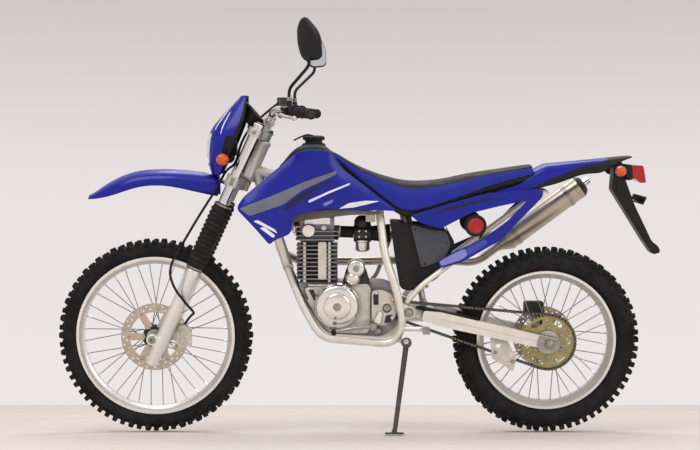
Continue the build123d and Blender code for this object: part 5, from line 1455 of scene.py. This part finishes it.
def reflectors():
    """Two round reflectors with ringed lenses, on wire brackets."""
    shape = Shape()
    cup = [(0, 33), (2, 38), (14, 39), (17.6, 37.6), (18.4, 31), (17, 27.5), (15.4, 27)]
    lens = [(15, 28), (16.4, 27.4), (17.4, 21), (18, 12), (18.2, 0)]
    wire = ((-454.1, 82.9, 703.4), (-472, 82.9, 733), (-466, 110, 746))
    for side in SIDES:
        at = Vector((-437, side * 106, 752))
        shape.lathe(at, LEFT * side, cup, BLACK, sides=44)
        shape.lathe(at, LEFT * side, lens, RED, sides=44)
        for r in (8, 15, 22):
            ring = [(17, r - 1.4), (18.8 - r * 0.03, r), (17, r + 1.4)]
            shape.lathe(at, LEFT * side, ring, RED, sides=36)
        shape.tube(bent([mirrored(p, side) for p in wire], 8), 3.8, DARK_ALLOY, sides=10)
    shape.build("round_reflectors", "frame", ["side_reflectors"])


side_panels()
stripes("side_panel_stripes_and_shadow", PANEL_STRIPES_AND_SHADOW, panel_depth, 6)
rear_mudguard()
plate_arm()
tail_lamp()
indicators("rear_signal_lamps", "rear_indicators", "frame", (-945, 36.4, 942), 59.6, 38, 20, 14)
reflectors()

# Frame

HEAD_LOW = 647
UPRIGHT_Y = 112
BACKBONE_END = Vector((-196, 0, 838))
PEG = Vector((-262, 135, 388))
STAND_PIVOT = Vector((-196, 128, 340))
STAND_FOOT = Vector((-150, 262, 262 * math.tan(LEAN)))
STAND_AXIS = (STAND_FOOT - STAND_PIVOT).cross(Vector((-330, 52, 4))).normalized()
CRADLE = [
    (226, 16, 592), (172, 60, 463), (104, 90, 350), (-150, 100, 331), (-188, UPRIGHT_Y, 400),
    (-158, UPRIGHT_Y, 536), (-120, UPRIGHT_Y, 640), (-98, 40, 838),
]
HEAD_TUBE = [
    (647, 16), (647, 28), (649, 29), (660, 29), (662, 27), (783, 27), (785, 29), (796, 29), (798, 28),
    (798, 16),
]
RAIL_END = Vector((-690, 60, 866))
RAIL_R = 10


def on_stand(reach):
    """A point on the axis that the side stand folds about."""
    return STAND_PIVOT + STAND_AXIS * reach


def cradle_frame():
    """Head tube, backbone, cradle tubes, pivot plates and the side stand's bracket."""
    shape = Shape()
    shape.lathe(fork(STEER_U, 0, 0), FORK_Z, HEAD_TUBE, FRAME_PAINT, sides=36, close=True)
    shape.tube([fork(STEER_U, 0, HEAD_LOW + 36), BACKBONE_END], 20, FRAME_PAINT, sides=24)
    shape.tube([fork(STEER_U - 14, 0, HEAD_LOW + 46), (222, 0, 585)], 19, FRAME_PAINT, sides=24)
    pivot_plate = [polar(22, math.pi * (0.5 + i / 14), *PIVOT.xz) for i in range(15)]
    pivot_plate += [(PIVOT.x + 32, PIVOT.z - 30), (PIVOT.x + 42, PIVOT.z + 40)]
    gusset = rounded([(342, 893), (250, 870), (262, 780), (306, 800)], 8)
    for side in SIDES:
        shape.tube(bent([mirrored(p, side) for p in CRADLE], 46), 14, FRAME_PAINT, sides=20)
        shape.plate(pivot_plate, side * 106, side * 118, FRAME_PAINT)
        shape.bolt(PIVOT + LEFT * side * 118, LEFT * side, 13, STEEL, 8)
        peg_stub = [(-184, side * UPRIGHT_Y, PEG.z), (PEG.x, side * 125, PEG.z)]
        shape.tube(peg_stub, 9, FRAME_PAINT, sides=16)
        shape.plate(gusset, side * 12, side * 15, FRAME_PAINT, [circle(12, 20, 284, 842)])
    for ends, radius, look, sides in (
        ((PIVOT - LEFT * 119, PIVOT + LEFT * 119), 8, STEEL, 20),
        (((-98, -40, 838), (-98, 40, 838)), 14, FRAME_PAINT, 18),
        (((222, -18, 590), (222, 18, 590)), 17, FRAME_PAINT, 18),
        ((on_stand(-28), on_stand(-7.5)), 11, FRAME_PAINT, 18),
        ((on_stand(-24), (-166, 104, 350)), 8.8, FRAME_PAINT, 14),
        ((on_stand(-20), on_stand(12)), 5.9, STEEL, 14),
    ):
        shape.tube(ends, radius, look, sides=sides)
    shape.build("cradle_frame", "frame", ["main_frame"], sharp=45)


def seat_rails():
    """Upper and lower rails with two cross tubes."""
    shape = Shape()
    routes = [[RAIL_END, mirrored(RAIL_END, -1)], [(-420, 54, 846), (-420, -54, 846)]]
    for side in SIDES:
        routes.append([mirrored(p, side) for p in ((-115, 50, 821), RAIL_END)])
        routes.append(bent([mirrored(p, side) for p in ((-195, 100, 477), (-244, 104, 536), RAIL_END)], 30))
    for route in routes:
        shape.tube(route, RAIL_R, FRAME_PAINT, sides=18)
    shape.build("seat_rails", "frame", ["subframe"], sharp=45)


cradle_frame()
seat_rails()

# Engine, intake and exhaust

CASE = [
    (188, 545), (178, 520), (148, 462), (96, 376), (76, 362), (-110, 350), (-168, 392), (-168, 520),
    (-120, 545),
]
SIDE_CASE = [(166, 528), (140, 466), (94, 384), (74, 366), (-60, 364), (-72, 400), (-72, 524), (-60, 542)]
SPROCKET_GUARD = [(-74, 520), (-110, 524), (-150, 506), (-166, 470), (-158, 424), (-120, 396), (-74, 400)]
STARTER_BRACKET = [(-52, 598), (14, 598), (30, 542), (-70, 542)]
FLYWHEEL, CLUTCH = Vector((48, 0, 464)), Vector((20, 0, 452))
STARTER, STARTER_GEAR = Vector((-19, 0, 598)), Vector((-8, 66, 562))
ENGINE_ROUNDS = [  # centre, way, (reach, radius) rows, look, sides
    (FLYWHEEL, LEFT, [(68, 82), (76, 82), (84, 80), (98, 74), (103, 68), (104, 48)], BRIGHT, 56),
    (FLYWHEEL, LEFT, [(103, 46), (108, 46), (111, 42), (112, 20), (112, 0)], BRIGHT, 44),
    (FLYWHEEL, LEFT, [(111, 15), (113.6, 15), (114.4, 13)], STEEL, 6),
    (CLUTCH, -LEFT, [(68, 89), (92, 88), (104, 82), (110, 70), (110, 0)], ALLOY, 56),
    (CLUTCH, -LEFT, [(109, 40), (114, 38), (115, 0)], BRIGHT, 40),
    (STARTER, LEFT, [(10, 30), (30, 32), (80, 32), (86, 30), (90, 24), (92, 12), (92, 0)], BRIGHT, 40),
    (STARTER, LEFT, [(91, 11), (94, 11), (95, 8)], STEEL, 20),
    (STARTER_GEAR, LEFT, [(-6, 30), (4, 29), (14, 25), (21, 17), (25, 8), (26, 0)], BRIGHT, 36),
    (Vector((-96, 60, 372)), LEFT, [(0, 12), (14, 12), (15, 10)], STEEL, 6),
]
CASE_RIBS = [(-60, 536, 150, 536), (-40, 380, 70, 376), (-68, 420, -68, 510), (100, 392, 152, 486)]
# Thin plates on the case's left side and the sprocket guard. The dark ones are painted shade along edges and
# in gaps; the alloy one is a rib and the bright one a raised polished strip.
CASE_PLATES_AND_PAINTED_SHADE = [  # outline, low and high y, look
    ([(106, 408), (70, 380), (60, 390), (90, 414)], 71, 72.8, DARK_ALLOY),
    ([(36, 378), (36, 374), (-30, 374), (-30, 378)], 71, 74, ALLOY),
    ([(150, 520), (128, 478), (118, 484), (132, 522)], 71, 72.8, DARK_ALLOY),
    ([(-80, 508), (-98, 508), (-98, 470), (-80, 470)], 95, 96.8, DARK_ALLOY),
    ([(-124, 432), (-148, 436), (-142, 408), (-118, 404)], 95, 96.8, DARK_ALLOY),
    ([(-78, 404), (-100, 448), (-112, 442), (-104, 404)], 95, 101, BRIGHT),
]
CYLINDER_X = 120
FIN_PITCH = 14.8
FIN_THICK = 4.4
CARBURETTOR = Vector((-42, 0, 650))
PORT = Vector((199.3, -40, 736))
MUFFLER_FRONT, MUFFLER_REAR = Vector((-545, -176, 652)), Vector((-842, -176, 872))
MUFFLER_WAY = (MUFFLER_REAR - MUFFLER_FRONT).normalized()
MUFFLER_LENGTH = (MUFFLER_REAR - MUFFLER_FRONT).length
AIRBOX = [(-140, 764), (-330, 744), (-368, 690), (-345, 620), (-306, 560), (-214, 517), (-176, 524)]
AIRBOX_FRONT = [(-140, 764), (-170, 761), (-170, 600), (-176, 524), (-160, 620)]
AIRBOX_BACK = [(-368, 690), (-345, 620), (-352, 650), (-355, 700), (-340, 741)]
COVER = [(-211, 753), (-283, 736), (-338, 729), (-353, 681), (-329, 630), (-249, 600), (-234, 661)]


def crankcase():
    """The engine's case with its round covers, starter and sprocket, a rib, a polished strip and dark plates
    of painted shade.
    """
    shape = Shape()
    shape.plate(rounded(CASE, 18), -60, 56, FIN)
    shape.plate(rounded(SIDE_CASE, 16), 56, 72, ALLOY)
    shape.plate(rounded(CASE, 20), -72, -60, ALLOY)
    for centre, way, rows, look, sides in ENGINE_ROUNDS:
        shape.lathe(centre, way, rows, look, sides=sides)
    for i in range(8):
        shape.bolt(around(FLYWHEEL, 78, math.radians(22 + 45 * i), 78), LEFT, 4, BRIGHT)
    for a in turns(9):
        shape.bolt(around(CLUTCH, 84, a, -92), -LEFT, 4, BRIGHT)
    shape.plate(rounded(STARTER_BRACKET, 10), 20, 72, DARK_ALLOY)
    shape.plate(rounded(SPROCKET_GUARD, 14), 88, 96, ALLOY, [circle(17, 24, *COUNTERSHAFT.xz)])
    for x, z in ((-90, 512), (-148, 490), (-146, 424), (-90, 406)):
        shape.tube([(x, 56, z), (x, 89, z)], 5, ALLOY, sides=10)
        shape.bolt(Vector((x, 96, z)), LEFT, 4, BRIGHT)
    for x0, z0, x1, z1 in CASE_RIBS:
        shape.tube([(x0, 70, z0), (x1, 70, z1)], 4, ALLOY, sides=8)
    # Thin plates: the dark ones are painted shade.
    for outline, low, high, look in CASE_PLATES_AND_PAINTED_SHADE:
        shape.plate(rounded(outline, 4), low, high, look)
    shape.tube([COUNTERSHAFT + LEFT * y for y in (56, 86)], 11, STEEL, sides=20)
    teeth = toothed(FRONT_TEETH, FRONT_PITCH_R, FRONT_TOOTH)
    low, high = CHAIN_Y - SPROCKET_HALF, CHAIN_Y + SPROCKET_HALF
    shape.plate(teeth, low, high, STEEL, lift=centred_on(COUNTERSHAFT))
    for side in SIDES:
        shape.tube([(60, side * 60, 356), (60, side * 77, 356)], 9, ALLOY)
    shape.build("crankcase_castings", "frame", ["crankcase"], bevel=1.8)


def fins(shape, count, z, half_x, half_y):
    """A stack of cooling fins with rounded corners."""
    corners = [(CYLINDER_X + a * half_x, b * half_y) for a, b in ((-1, -1), (1, -1), (1, 1), (-1, 1))]
    for i in range(count):
        low = z + i * FIN_PITCH
        shape.plate(rounded(corners, 16), low, low + FIN_THICK, FIN, lift=level)


def cylinder():
    """A finned barrel with two studs and the chain tunnel's cover."""
    shape = Shape()
    shape.block((CYLINDER_X, 0, 618), (112, 102, 145), DARK_ALLOY)
    fins(shape, 9, 556, 73, 65)
    for reach in (-44, 44):
        shape.lathe((CYLINDER_X + reach, 58, 546), UP, [(0, 7), (144, 7)], ALLOY, sides=14)
    shape.plate(rounded([(86, 556), (116, 556), (116, 690), (86, 690)], 6), 50, 66, ALLOY)
    shape.build("cylinder_fins", "frame", ["cylinder"], bevel=0.9, segments=1)


def cylinder_head():
    """A finned head with its bright cover, two ports and the plug."""
    shape = Shape()
    shape.block((CYLINDER_X, 0, 733), (122, 110, 84), FIN)
    fins(shape, 3, 696, 76, 68)
    shape.plate(rounded([(62, -56), (178, -56), (178, 56), (62, 56)], 18), 752, 775, BRIGHT, lift=level)
    for x in (74, 166):
        for y in (-46, 46):
            shape.bolt(Vector((x, y, 774)), UP, 5, STEEL, 3)
    shape.tube([(160, -40, 736), (199, -40, 736)], 23, BRIGHT, sides=24)
    shape.tube([(80, 0, 722), (38.4, 0, 722)], 23, ALLOY, sides=24)
    shape.lathe((150, 54, 730), LEFT, [(0, 24), (12, 24), (15, 21), (16, 0)], BRIGHT, sides=32)
    shape.lathe((96, 54, 740), LEFT, [(0, 10), (4, 10), (5, 7), (16, 7)], PALE, sides=16)
    shape.build("cylinder_head_fins", "frame", ["cylinder_head"], bevel=1.0, segments=1)


def carburettor():
    """A carburettor between two rubber horns."""
    shape = Shape()
    shape.tube([(37.7, 0, 722), (-10, 0, 720)], 21, RUBBER, sides=24)
    shape.lathe((-10, 0, 716), -FORWARD, [(0, 28), (3, 31), (61, 31), (64, 28)], DARK_ALLOY, sides=32)
    for rows, look in (
        ([(0, 16), (2, 22), (8, 26), (34, 27)], BRIGHT),
        ([(34, 27), (90, 27), (96, 30), (112, 30), (124, 22), (130, 12)], DARK_ALLOY),
        ([(34, 27.4), (36, 31), (42, 31), (44, 27.4)], BRIGHT),
    ):
        shape.lathe(CARBURETTOR, UP, rows, look, sides=36)
    shape.tube([(-74, 0, 716), (-141, 0, 716)], (26, 33.5), RUBBER, sides=28)
    shape.block((-42, 26, 716), (40, 18, 34), DARK_ALLOY)
    for x in (-54, -30):
        for z in (726, 706):
            shape.bolt(Vector((x, 35, z)), LEFT, 3, BRIGHT, 4)
    shape.block((-70, 27, 772), (34, 16, 26), EXHAUST)
    shape.build("carburettor_body", "frame", ["carburettor"], bevel=1.2)


def exhaust_pipe():
    """The pipe from the head's port along the right to the muffler."""
    shape = Shape()
    route = [
        PORT, PORT + FORWARD * 56, (262, -104, 640), (190, -148, 600), (-60, -156, 600), (-300, -160, 606),
        MUFFLER_FRONT - MUFFLER_WAY * 100, MUFFLER_FRONT - MUFFLER_WAY * 4,
    ]
    shape.tube(bent(route, 42, 8), 15.6, EXHAUST, sides=24)
    shape.lathe(PORT, FORWARD, [(0.4, 30), (6, 30), (7, 27), (12, 20)], BRIGHT, sides=28)
    shape.build("exhaust_pipe", "frame", ["exhaust_header"], sharp=60)


def muffler():
    """A round can with two bands, an end cone and a tail pipe."""
    shape = Shape()
    can = [(-3.6, 19), (6, 20), (40, 40), (46, 42), (54, 42), (55, 41)]
    can += [(MUFFLER_LENGTH - 18, 41), (MUFFLER_LENGTH - 17, 42), (MUFFLER_LENGTH, 42)]
    shape.lathe(MUFFLER_FRONT, MUFFLER_WAY, can, EXHAUST, sides=44)
    cone = [(0, 42), (6, 40), (16, 33), (22, 26), (22, 16)]
    shape.lathe(MUFFLER_REAR, MUFFLER_WAY, cone, DARK_ALLOY, sides=44)
    pipe = [(10, 15), (45, 15), (46, 14), (46, 12), (14, 12)]
    shape.lathe(MUFFLER_REAR, MUFFLER_WAY, pipe, CHROME, sides=28)
    band = [(0, 41), (0, 43.4), (16, 43.4), (16, 41)]
    for reach in (70, MUFFLER_LENGTH - 60):
        shape.lathe(MUFFLER_FRONT + MUFFLER_WAY * reach, MUFFLER_WAY, band, STEEL, sides=44)
    shape.build("muffler_can", "frame", ["muffler"], sharp=35)


def airbox():
    """Two side walls joined at front and back, with bolts and louvres."""
    shape = Shape()
    shape.plate(rounded(AIRBOX, 16), 44, 80, BLACK)
    shape.plate(rounded(AIRBOX, 16), -80, -44, BLACK)
    shape.plate(rounded(AIRBOX_FRONT, 4), -45, 45, BLACK)
    shape.plate(rounded(AIRBOX_BACK, 3), -45, 45, BLACK)
    for side in SIDES:
        for x, z in ((-196, 740), (-200, 560), (-300, 590), (-226, 536)):
            shape.bolt(Vector((x, side * 80, z)), LEFT * side, 4, DARK_ALLOY)
        for z in (560, 574, 588):
            louvre = [(-214, z), (-262, z + 4), (-262, z + 9), (-214, z + 5)]
            shape.plate(rounded(louvre, 2), side * 79, side * 83, BLACK)
    shape.build("airbox_moulding", "frame", ["airbox"], bevel=2)


def cover_depth(x, z):
    """How far out the side cover stands."""
    return 90.5 + 3.5 * bump(x + 285, 60) * bump(z - 680, 60)


def side_covers():
    """Two bolted grey covers."""
    shape = Shape()
    for side in SIDES:
        shape.skin(rounded(COVER, 14), cover_depth, GREY, 10, 12, side)
        for x, z in ((-226, 738), (-262, 616), (-338, 690)):
            shape.bolt(Vector((x, side * 90.5, z)), LEFT * side, 4, DARK_ALLOY, 3)
    shape.build("grey_side_covers", "frame", ["side_covers"], bevel=1.6)


crankcase()
cylinder()
cylinder_head()
carburettor()
exhaust_pipe()
muffler()
airbox()
side_covers()

# Swingarm, shock, brake and foot controls

ARM_WAY = (REAR_AXLE - PIVOT).normalized()
ARM_UP = LEFT.cross(ARM_WAY)
ARM_LENGTH = (REAR_AXLE - PIVOT).length
ARM_END = ARM_LENGTH + 38
SHOCK_FOOT, SHOCK_TOP = Vector((-261.4, 0, 465.4)), Vector((-190, 0, 806))
SHOCK_WAY = (SHOCK_TOP - SHOCK_FOOT).normalized()
SHOCK_LENGTH = (SHOCK_TOP - SHOCK_FOOT).length
COIL_STEPS = 170
COIL_STEPS_A_TURN = 20
GUIDE = [(-494, 356), (-500, 279), (-576, 231), (-588, 281), (-554, 343)]
GUIDE_CENTRE = Vector((-544, 0, 285.8))
GUIDE_TURN = Matrix.Rotation(math.radians(-19.1), 3, "Y")
LEG_WAY = (STAND_FOOT - STAND_PIVOT).normalized()
FLOOR_TURN = Matrix.Rotation(LEAN, 3, "X")


def on_arm(a, b, height):
    """A point by the swingarm's measures: a behind the pivot, b above its line, height to the left."""
    return PIVOT + ARM_WAY * a + ARM_UP * b + LEFT * height


def swingarm():
    """A box-section arm with a slot, cheek plate and adjuster for the axle at each side."""
    shape = Shape()
    sleeve = both_ways([(94, 8.4), (94, 16), (92, 17)])
    shape.lathe(PIVOT, LEFT, sleeve, FRAME_PAINT, sides=28, close=True)
    bridge = [(2, -16), (80, -17), (80, 17), (2, 16)]
    shape.plate(rounded(bridge, 4), -94, 94, FRAME_PAINT, lift=on_arm)
    yoke = [(52, -17), (100, -17), (100, 17), (52, 17)]
    shape.plate(rounded(yoke, 6), -116.4, 116.4, FRAME_PAINT, lift=on_arm)
    strip = [(24, 16), (236, 20), (250, 23), (236, 29), (40, 25), (22, 20)]
    shape.plate(rounded(strip, 3), 60, 112, RUBBER, lift=on_arm)
    beam = [
        (50, -17), (110, -25), (ARM_END - 10, -21), (ARM_END, -11), (ARM_END, 11), (ARM_END - 10, 21),
        (110, 25), (50, 17),
    ]
    slot = [(ARM_LENGTH + a, b) for a, b in ((-24, -9.5), (22, -9.5), (22, 9.5), (-24, 9.5))]
    cheek = [(ARM_LENGTH + a, b) for a, b in ((-40, -22), (36, -20), (36, 20), (-40, 22))]
    bore = circle(8.7, 24, ARM_LENGTH)
    for side in SIDES:
        shape.plate(rounded(beam, 8), side * 89, side * 117, FRAME_PAINT, [rounded(slot, 9)], on_arm)
        shape.plate(rounded(cheek, 10), side * 117, side * 121, STEEL, [bore], on_arm)
        shape.tube([on_arm(a, 0, side * 103) for a in (ARM_END - 4, ARM_END + 12)], 5, STEEL, sides=10)
        shape.tube([on_arm(a, 0, side * 117) for a in (118, ARM_LENGTH - 46)], 1.2, FRAME_PAINT, sides=6)
    shape.build("swingarm_box", "frame", ["swingarm"], bevel=2.2, segments=3)


def shock():
    """A damper with a red coil spring between two seats."""
    shape = Shape()
    eye = both_ways([(20, 8), (20, 14)])
    shape.lathe(SHOCK_FOOT, LEFT, eye, ALLOY, sides=24, close=True)
    for rows, look in (
        ([(4, 12), (50, 12), (52, 31), (58, 31), (60, 12)], ALLOY),
        ([(60, 9), (170, 9), (172, 20), (SHOCK_LENGTH - 6, 20), (SHOCK_LENGTH + 6, 11)], STEEL),
        ([(SHOCK_LENGTH + a, r) for a, r in ((-78, 20), (-78, 32), (-70, 32), (-66, 20))], ALLOY),
    ):
        shape.lathe(SHOCK_FOOT, SHOCK_WAY, rows, look, sides=32)
    across = SHOCK_WAY.cross(LEFT).normalized()
    coil = []
    for i in range(COIL_STEPS + 1):
        a = 2 * math.pi * i / COIL_STEPS_A_TURN
        reach = 62 + (SHOCK_LENGTH - 144) * i / COIL_STEPS
        coil.append(SHOCK_FOOT + SHOCK_WAY * reach + (LEFT * math.cos(a) + across * math.sin(a)) * 27)
    shape.tube(coil, 4.6, RED, sides=8)
    shape.build("shock_and_spring", "frame", ["shock"], sharp=50)


def chain_guide():
    """A plate under the arm with pale pads round the chain."""
    shape = Shape()
    shape.plate(rounded(GUIDE, 8), 85, 93, ALLOY, [circle(9, 20, -522, 322), circle(6, 16, -560, 262)])
    for height in (-14, 14):
        pad = GUIDE_CENTRE + LEFT * (CHAIN_Y + 1) + GUIDE_TURN @ (UP * height)
        shape.block(pad, (70, 26, 6), PALE, GUIDE_TURN)
    for y in (61.5, 87.5):
        shape.block(GUIDE_CENTRE + LEFT * y, (70, 3, 30), PALE, GUIDE_TURN)
    for x, z in ((-512, 300), (-574, 268)):
        shape.bolt(Vector((x, 93, z)), LEFT, 4.5)
    shape.build("chain_guide_plate", "frame", ["chain_guide"], bevel=1.4)


def rear_caliper():
    """Two jaws joined by a bridge, on a hanger from the axle."""
    shape = Shape()
    jaw = rounded([(-702, 416), (-702, 462), (-630, 462), (-630, 416)], 10)
    bridge = rounded([(-700, 449), (-700, 461), (-632, 461), (-632, 449)], 4)
    for outline, low, high in ((jaw, -86, -71), (jaw, -60, -46), (bridge, -72, -59)):
        shape.plate(outline, low, high, DARK_ALLOY)
    hanger = rounded([(-640, 450), (-700, 450), (-724, 330), (-700, 308), (-672, 330)], 8)
    shape.plate(hanger, -86, -78, DARK_ALLOY, [circle(13.4, 28, *REAR_AXLE.xz)])
    for x in (-686, -648):
        shape.bolt(Vector((x, -86, 440)), -LEFT, 5)
    shape.build("rear_caliper_casting", "frame", ["rear_caliper"], bevel=1.6)


def foot_pegs(shape):
    """Two toothed pegs."""
    for side in SIDES:
        inner, outer = mirrored(PEG, side), mirrored((PEG.x, 214, PEG.z + 3), side)
        neck = [(0, 9), (3, 12), (8, 12), (10, 9), (20, 9)]
        shape.lathe(inner, outer - inner, neck, STEEL, sides=20)
        middle = inner.lerp(outer, 0.58)
        shape.block(middle, (25, 62, 16), STEEL)
        for i in range(7):
            for reach in (-10, 10):
                tooth = middle + Vector((reach, side * (-27 + i * 9), 10))
                shape.block(tooth, (4, 5, 6), STEEL, top=0.5)


def foot_controls():
    """The pegs, the gear lever on the left, the brake pedal and the kick lever on the right."""
    shape = Shape()
    foot_pegs(shape)
    shape.tube([(-78, 72.3, 396), (-78, 132, 396)], 8, STEEL, sides=16)
    gear_lever = [(-78, 128, 396), (-20, 130, 392), (30, 132, 384), (60, 134, 380)]
    shape.tube(gear_lever, (7.4, 5.8), STEEL, smooth=True)
    shape.lathe((-78, 128, 396), LEFT, [(-8, 13), (6, 13), (7, 11)], STEEL, sides=20)
    toe = [(4 + 6 * i + reach, r) for i in range(5) for reach, r in ((0, 9), (2, 8), (4, 8))]
    shape.lathe((60, 134, 380), LEFT, [(-6, 6), (-5, 9)] + toe + [(36, 9), (38, 6)], RUBBER, sides=18)
    shape.tube([(-188, -126.3, 420), (-188, -150, 420)], 10, STEEL, sides=16)
    shape.tube(bent([(-188, -144, 420), (-120, -146, 352), (48, -150, 350)], 34), 7, STEEL, sides=12)
    shape.block((58, -150, 354), (46, 44, 11), STEEL)
    for i in range(4):
        shape.block((42 + i * 11, -150, 362), (4, 40, 5), STEEL, top=0.7)
    shape.tube([(-70, -72.3, 520), (-70, -200, 520)], 9, STEEL, sides=16)
    shape.tube(bent([(-70, -194, 520), (-96, -194, 545), (-150, -198, 690)], 18), 8, STEEL)
    kick_pad = [(0, 9), (20, 9), (22, 10), (54, 10), (57, 8)]
    shape.lathe((-150, -194, 690), (0, -1, 0.07), kick_pad, RUBBER, sides=18)
    shape.build("foot_control_set", "frame", ["foot_controls"], bevel=1.2)


def side_stand():
    """A tapered leg with its pivot eye and a foot that lies flat on the floor."""
    shape = Shape()
    eye = both_ways([(7, 6.2), (7, 17), (6, 18)])
    shape.lathe(STAND_PIVOT, STAND_AXIS, eye, STAND, sides=28, close=True)
    shape.tube([STAND_PIVOT + LEG_WAY * 14, STAND_FOOT - LEG_WAY * 2], (10, 8), STAND, sides=18)
    for centre, size, top in (((0, 0, 3), (64, 36, 6), 1.0), ((0, -4, 11), (20, 16, 12), 0.7)):
        shape.block(STAND_FOOT + FLOOR_TURN @ Vector(centre), size, STAND, FLOOR_TURN, top)
    shape.lathe(STAND_PIVOT, STAND_AXIS, [(7.4, 11), (9, 11), (9.1, 9), (12, 9)], STEEL, sides=6)
    shape.build("side_stand_leg", "side_stand", ["side_stand"], bevel=1.4)


swingarm()
rear_nut = [(0, 17), (2, 17), (2.1, 15.6), (8, 15.6), (9, 14)]
turned_axle(REAR_WHEEL, "frame", 134, 121, rear_nut, ((80.6, 88.6), (72.6, 88.6)), 13)
shock()
chain_guide()
rear_caliper()
foot_controls()
side_stand()

# Stage: floor and lamps in metres, the camera's place in the millimetres of the bike

FLOOR_HALF, FLOOR_NEAR, FLOOR_FAR = 14, 9, -2.9
SKY_LEVELS = [(0.0, 0.84), (0.12, 0.8), (0.26, 0.58), (0.42, 0.44), (0.85, 0.9)]
SKY_TINT = (1.0, 0.945, 0.935)
SENSOR_WIDTH = 36
FOCAL_PIXELS, PICTURE_WIDTH = 1456, 700
CAMERA_AT = Vector((2.7, 5200, 1150))
CAMERA_PITCH = math.radians(-4.45) + LEAN


def floor():
    """A pale floor that ends behind the bike."""
    corners = [(x, y, 0) for y in (FLOOR_NEAR, FLOOR_FAR) for x in (-FLOOR_HALF, FLOOR_HALF)]
    data = bpy.data.meshes.new("floor")
    data.from_pydata(corners, [], [(0, 1, 3, 2)])
    data.shade_smooth()
    data.materials.append(
        finish("studio_floor", (222, 213, 206), 0.6, drift=0.03, patch=600, grain=0.1, grit=3)
    )
    piece = bpy.data.objects.new("floor", data)
    bpy.context.scene.collection.objects.link(piece)


def sky():
    """A backdrop that darkens above the floor and brightens overhead."""
    world = bpy.data.worlds.new("studio")
    world.use_nodes = True
    nodes, links = world.node_tree.nodes, world.node_tree.links
    place = nodes.new("ShaderNodeTexCoord")
    height = nodes.new("ShaderNodeSeparateXYZ")
    ramp = nodes.new("ShaderNodeValToRGB")
    stops = ramp.color_ramp.elements
    for position, _ in SKY_LEVELS[1:-1]:
        stops.new(position)
    for stop, (position, bright) in zip(stops, SKY_LEVELS):
        stop.position = position
        stop.color = (*(bright * share for share in SKY_TINT), 1)
    links.new(place.outputs["Generated"], height.inputs["Vector"])
    links.new(height.outputs["Z"], ramp.inputs["Fac"])
    links.new(ramp.outputs["Color"], nodes["Background"].inputs["Color"])
    bpy.context.scene.world = world


def soft_box(name, at, aim, size, power):
    """A square area lamp."""
    data = bpy.data.lights.new(name, "AREA")
    data.size = size
    data.energy = power
    piece = bpy.data.objects.new(name, data)
    piece.location = at
    piece.rotation_euler = (Vector(aim) - Vector(at)).to_track_quat("-Z", "Y").to_euler()
    bpy.context.scene.collection.objects.link(piece)


def camera():
    """The photo's view."""
    data = bpy.data.cameras.new("photo")
    data.sensor_width = SENSOR_WIDTH
    data.lens = FOCAL_PIXELS / PICTURE_WIDTH * SENSOR_WIDTH
    piece = bpy.data.objects.new("photo", data)
    piece.location = TO_ROW @ CAMERA_AT
    piece.rotation_euler = (math.pi / 2 + CAMERA_PITCH, 0, math.pi)
    bpy.context.scene.collection.objects.link(piece)
    bpy.context.scene.camera = piece


floor()
sky()
soft_box("key", (1.8, 3.4, 4.2), (0, 0, 0.5), 3.0, 105)
soft_box("fill", (-3.6, 3.2, 2.4), (0, 0, 0.6), 2.6, 55)
soft_box("back", (0, -2.2, 4.4), (0, 0, 0.6), 2.6, 60)
camera()
bpy.context.scene.view_settings.view_transform = "Standard"
